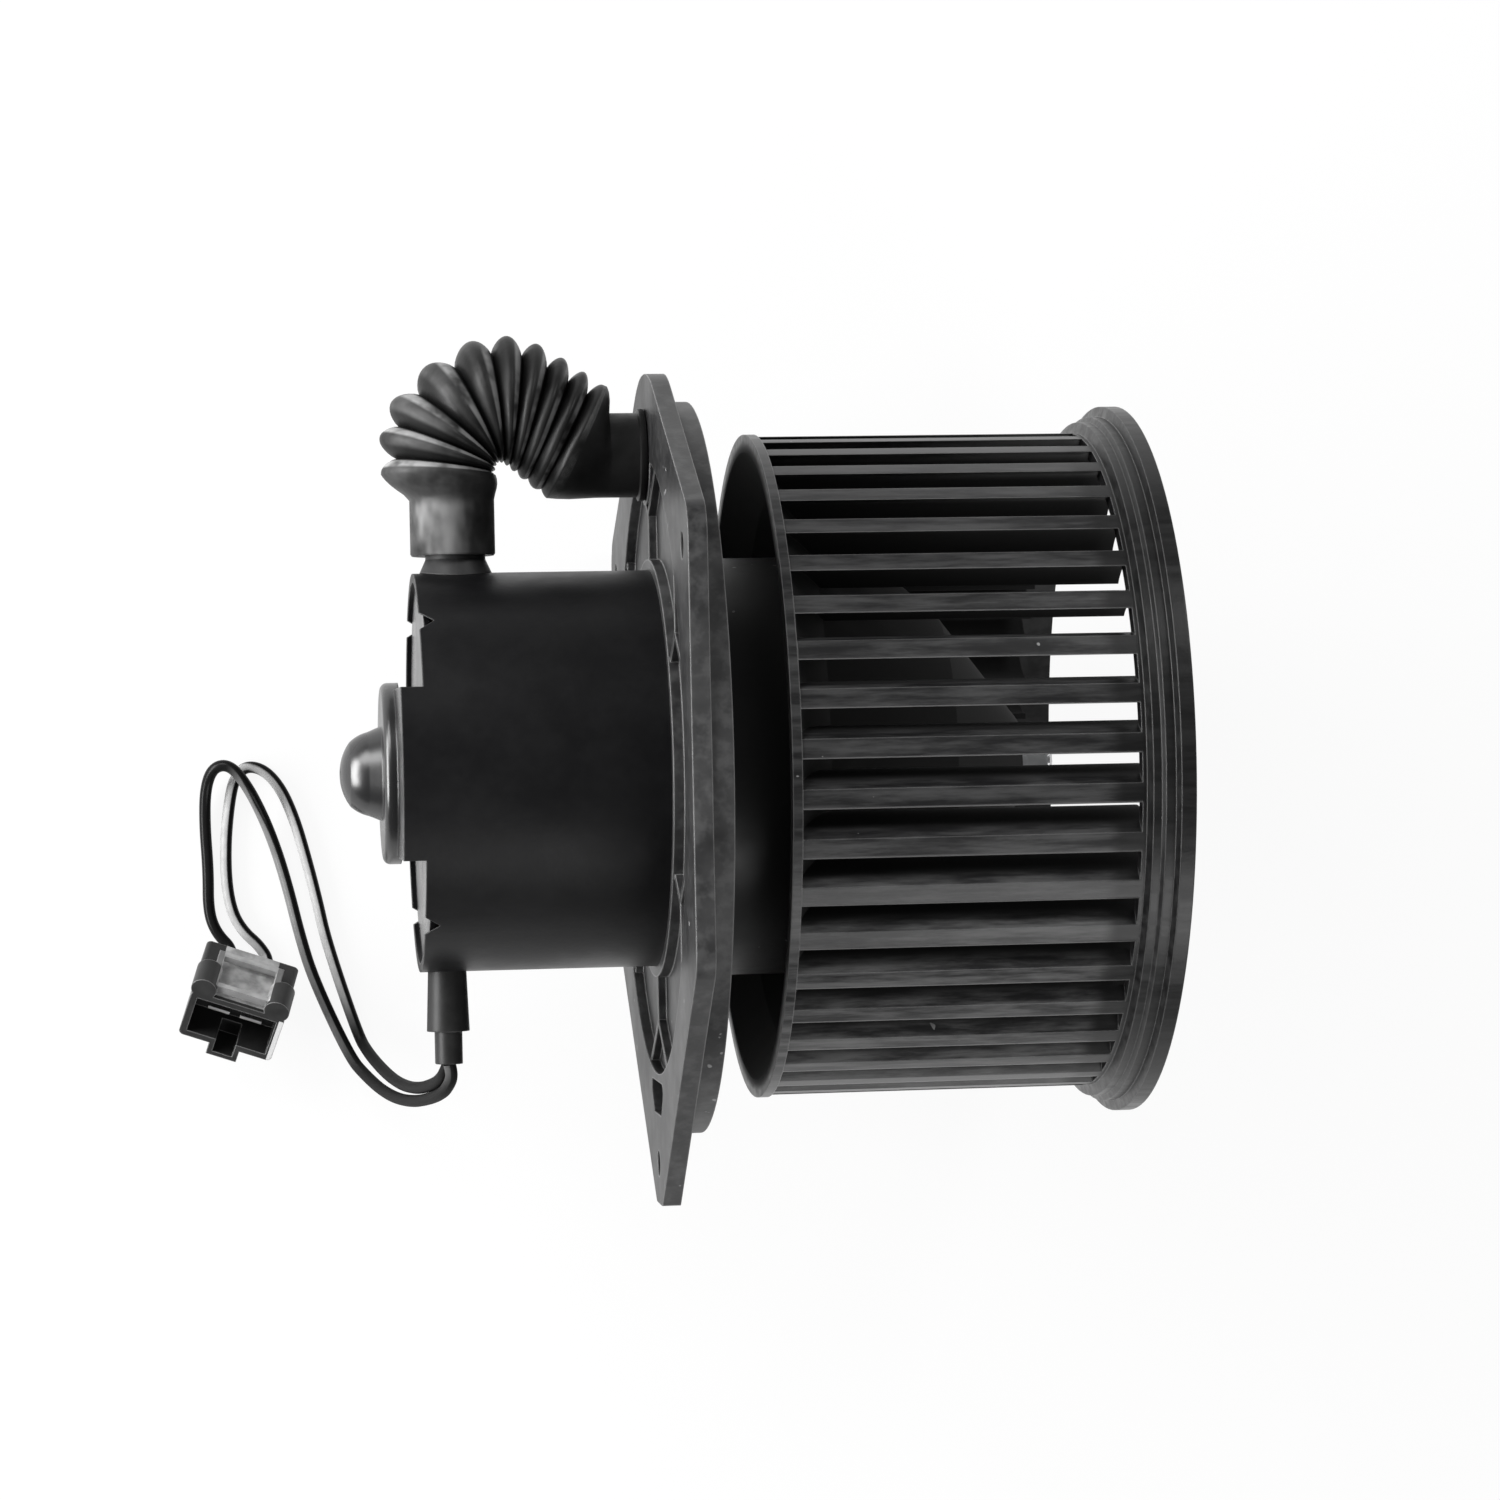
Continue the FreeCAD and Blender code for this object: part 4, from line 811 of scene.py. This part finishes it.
class BLOWER_OT_inner_parts(bpy.types.Operator):
    """Finishes the pieces inside the motor can"""

    bl_idname = "blower.inner_parts"
    bl_label = "Inner finishes"

    def execute(self, context):
        steel = bright_metal("ground_steel", STEEL, 0.22)
        bronze = bright_metal("sintered_bronze", (0.55, 0.38, 0.20), 0.5)
        copper = bright_metal("commutator_copper", (0.85, 0.45, 0.28), 0.3)
        windings = wound_copper("winding_copper", (0.55, 0.22, 0.08))
        fibre = plain_stuff("fibre", (0.20, 0.11, 0.05), 0.7)
        groups = {
            steel: ("shaft", "rear_spacer", "front_spacer", "rear_bush_retainer",
                    "front_bush_retainer", "magnet_clip_hose_side", "magnet_clip_lead_side"),
            bronze: ("rear_bush", "front_bush", "brush_holder_upper", "brush_holder_lower"),
            copper: ("commutator_bars",),
            windings: ("armature_windings", "choke_upper", "choke_lower"),
            fibre: ("rear_thrust_washer", "front_thrust_washer", "commutator_hub", "brush_card"),
            bright_metal("lamination_steel", (0.3, 0.3, 0.31), 0.45): ("armature_core",),
            plain_stuff("ferrite", (0.05, 0.05, 0.055), 0.6): ("magnet_upper", "magnet_lower"),
            plain_stuff("carbon", (0.03, 0.03, 0.032), 0.5): ("brush_upper", "brush_lower"),
            plain_stuff("felt", (0.5, 0.47, 0.4), 0.95): ("front_oil_felt",),
        }
        for material, nodes in groups.items():
            for node in nodes:
                wear(node, material)
        return {"FINISHED"}


class BLOWER_OT_springs(bpy.types.Operator):
    """Makes the brush springs from copies of the solid springs"""

    bl_idname = "blower.springs"
    bl_label = "Brush springs"

    def execute(self, context):
        steel = bright_metal("spring_steel", STEEL, 0.22)
        for label in ("upper", "lower"):
            node = NODES["brush_spring_" + label]
            spring = put(context, "brush_spring_" + label + "_coil", node.data.copy())
            spring.matrix_world = node.matrix_world.copy()
            spring.data.materials.clear()
            spring.data.materials.append(steel)
            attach(spring, HOUSING)
            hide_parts(node.name)
            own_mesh(spring)
        return {"FINISHED"}


class BLOWER_OT_hose(bpy.types.Operator):
    """Makes the corrugated hose"""

    bl_idname = "blower.hose"
    bl_label = "Corrugated hose"

    def execute(self, context):
        look = context.scene.blower_finish
        size = context.scene.blower_hose
        outside = hose_circles(0.0, size.ring_count, size.groove_depth)
        inside = hose_circles(size.wall, size.ring_count, size.groove_depth)
        inside = inside[FOOT_CIRCLES:-LIP_CIRCLES]
        inside.insert(0, (Vector((NECK_X, CUFF_FOOT_Y, 0.0)), LEFT, NECK_R + PLAY, 0.0))
        inside.append((Vector((PORT_FOOT_X, PORT_Y, 0.0)), UP, PORT_R + PLAY, 0.0))
        mouth_radii = (NECK_R + 2.0 * PLAY, PORT_R + 2.0 * PLAY)
        mesh = tube_mesh("corrugated_hose", outside, inside, mouth_radii)
        hose = put(context, "corrugated_hose", mesh)
        mesh.materials.append(hose_rubber("hose_rubber", look.rubber, look.dust * 4.0))
        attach(hose, HOUSING)
        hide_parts("cooling_hose")
        return {"FINISHED"}


class BLOWER_OT_leads(bpy.types.Operator):
    """Makes the two wires and finishes the boot and the plug"""

    bl_idname = "blower.leads"
    bl_label = "Leads"

    def execute(self, context):
        look = context.scene.blower_finish
        radius = context.scene.blower_hose.wire_radius
        wear("lead_boot", handled_black(
            "boot_rubber", look.rubber, (0.08, 0.08, 0.08), 0.45, look.dust * 0.5))
        wear("connector_housing", plug_plastic("plug_plastic", look.plug, (0.45, 0.45, 0.45)))
        wear("connector_terminals", bright_metal("terminal_tin", (0.8, 0.8, 0.8), 0.25))
        # The striped wire gets a fainter painted highlight band
        faint_highlight = tone(look.painted_side_highlight, 0.45)
        skins = {
            "lead_wire_striped": cable_skin("striped_insulation", look.cable, faint_highlight, width=0.40,
                                            reach_y=-62.0 * MM, reach_x=-90.0 * MM),
            "lead_wire_plain": cable_skin("plain_insulation", look.cable, look.painted_side_highlight, width=0.55,
                                          reach_y=-54.0 * MM, reach_x=-200.0 * MM),
        }
        wires = (
            ("lead_wire_striped", "striped_insulation", STRIPED_ROUTE, STRIPED_LENGTH,
             "connector_housing"),
            ("lead_wire_plain", "wire_insulation", PLAIN_ROUTE, PLAIN_LENGTH,
             "connector_terminals"))
        for node, finish_slot, route, length, far_piece in wires:
            wire = lead(context, node + "_lead", route, radius, skins[node])
            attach(wire, HOUSING)
            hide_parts(node)
            tuple(part * MM for part in route[0])
        return {"FINISHED"}


class BLOWER_OT_stage(bpy.types.Operator):
    """Sets up the floor, the lights and the camera"""

    bl_idname = "blower.stage"
    bl_label = "Stage"

    def execute(self, context):
        size = context.scene.blower_stage
        scene = context.scene
        scene.view_settings.view_transform = "Standard"
        bpy.ops.mesh.primitive_plane_add(size=FLOOR_SIZE, location=(0.0, 0.0, FLOOR_Z - FLOOR_DROP))
        floor = context.object
        floor.name = "pale_floor"
        floor.data.materials.append(pale_floor())
        light_room(scene, size.sky)
        for name, place, aim, width, height, setting in LAMPS:
            softbox(context, name, place, aim, width, height, getattr(size, setting))
        add_camera(context, size)
        return {"FINISHED"}


def pale_floor():
    """White floor that shows white to the camera and in reflections, and stays pale elsewhere."""
    shader = Shader("pale_floor")
    path = shader.add("ShaderNodeLightPath", {}, {})
    seen = (Wire(shader, path.outputs["Is Camera Ray"])
            + Wire(shader, path.outputs["Is Glossy Ray"])
            + Wire(shader, path.outputs["Is Transmission Ray"])).clamped()
    glow = shader.add("ShaderNodeEmission", {}, {"Color": WHITE, "Strength": 1.0})
    shader.even("Base Color", (0.8, 0.8, 0.8, 1.0))
    shader.even("Roughness", 0.9)
    blend = shader.add("ShaderNodeMixShader", {}, {0: seen * FLOOR_GLOW})
    shader.tree.links.new(shader.base.outputs[0], blend.inputs[1])
    shader.tree.links.new(glow.outputs[0], blend.inputs[2])
    shader.tree.links.new(blend.outputs[0], shader.tree.nodes["Material Output"].inputs["Surface"])
    return shader.material


def softbox(context, name, place, aim, width, height, power):
    """A rectangular area light that points at a place."""
    data = bpy.data.lights.new(name, "AREA")
    data.shape = "RECTANGLE"
    data.size = width
    data.size_y = height
    data.energy = power
    lamp = put(context, name, data)
    lamp.location = place
    lamp.rotation_euler = (Vector(aim) - Vector(place)).to_track_quat("-Z", "Y").to_euler()


def light_room(scene, strength):
    """Even light all round, which the camera itself sees as white."""
    world = bpy.data.worlds.new("even_room")
    world.use_nodes = True
    tree = world.node_tree
    dim = tree.nodes["Background"]
    seen = tree.nodes.new("ShaderNodeBackground")
    for background, level in ((dim, strength), (seen, 1.0)):
        background.inputs["Color"].default_value = WHITE
        background.inputs["Strength"].default_value = level
    path = tree.nodes.new("ShaderNodeLightPath")
    blend = tree.nodes.new("ShaderNodeMixShader")
    tree.links.new(path.outputs["Is Camera Ray"], blend.inputs[0])
    tree.links.new(dim.outputs[0], blend.inputs[1])
    tree.links.new(seen.outputs[0], blend.inputs[2])
    tree.links.new(blend.outputs[0], tree.nodes["World Output"].inputs["Surface"])
    scene.world = world


def add_camera(context, size):
    """The camera at the photograph's angle."""
    data = bpy.data.cameras.new("camera")
    data.lens = size.lens
    data.sensor_width = SENSOR_WIDTH
    forward = Vector((math.sin(size.turn), 0.0, -math.cos(size.turn)))
    right = forward.cross(UP).normalized()
    up = (UP + CAMERA_ROLL * right).normalized()
    right = forward.cross(up).normalized()
    up = right.cross(forward)
    turn = Matrix((right, up, -forward)).transposed().to_4x4()
    camera = put(context, "camera", data)
    camera.matrix_world = Matrix.Translation(CAMERA_PLACE) @ turn
    context.scene.camera = camera


class BLOWER_PT_panel(bpy.types.Panel):
    """Lists the sizes, the colours and the steps"""

    bl_idname = "BLOWER_PT_panel"
    bl_label = "Blower motor"
    bl_space_type = "VIEW_3D"
    bl_region_type = "UI"
    bl_category = "Blower"

    def draw(self, context):
        for setting in GROUPS:
            group = getattr(context.scene, setting)
            box = self.layout.box()
            for name in group.bl_rna.properties.keys():
                if name not in ("rna_type", "name"):
                    box.prop(group, name)
        for operator in OPERATORS:
            self.layout.operator(operator.bl_idname)


GROUPS = {"blower_finish": BlowerFinish, "blower_hose": BlowerHose, "blower_stage": BlowerStage}
OPERATORS = (BLOWER_OT_motor, BLOWER_OT_flange, BLOWER_OT_fan, BLOWER_OT_inner_parts,
             BLOWER_OT_springs, BLOWER_OT_hose, BLOWER_OT_leads, BLOWER_OT_stage)


def register():
    """Adds the classes and the property groups."""
    for name, group in GROUPS.items():
        bpy.utils.register_class(group)
        setattr(bpy.types.Scene, name, bpy.props.PointerProperty(type=group))
    for operator in OPERATORS:
        bpy.utils.register_class(operator)
    bpy.utils.register_class(BLOWER_PT_panel)


def unregister():
    """Takes them away again."""
    bpy.utils.unregister_class(BLOWER_PT_panel)
    for operator in reversed(OPERATORS):
        bpy.utils.unregister_class(operator)
    for name, group in GROUPS.items():
        delattr(bpy.types.Scene, name)
        bpy.utils.unregister_class(group)


def main():
    """Builds every piece."""
    register()
    bpy.ops.blower.motor()
    bpy.ops.blower.flange()
    bpy.ops.blower.fan()
    bpy.ops.blower.inner_parts()
    bpy.ops.blower.springs()
    bpy.ops.blower.hose()
    bpy.ops.blower.leads()
    bpy.ops.blower.stage()


if __name__ == "__main__":
    main()
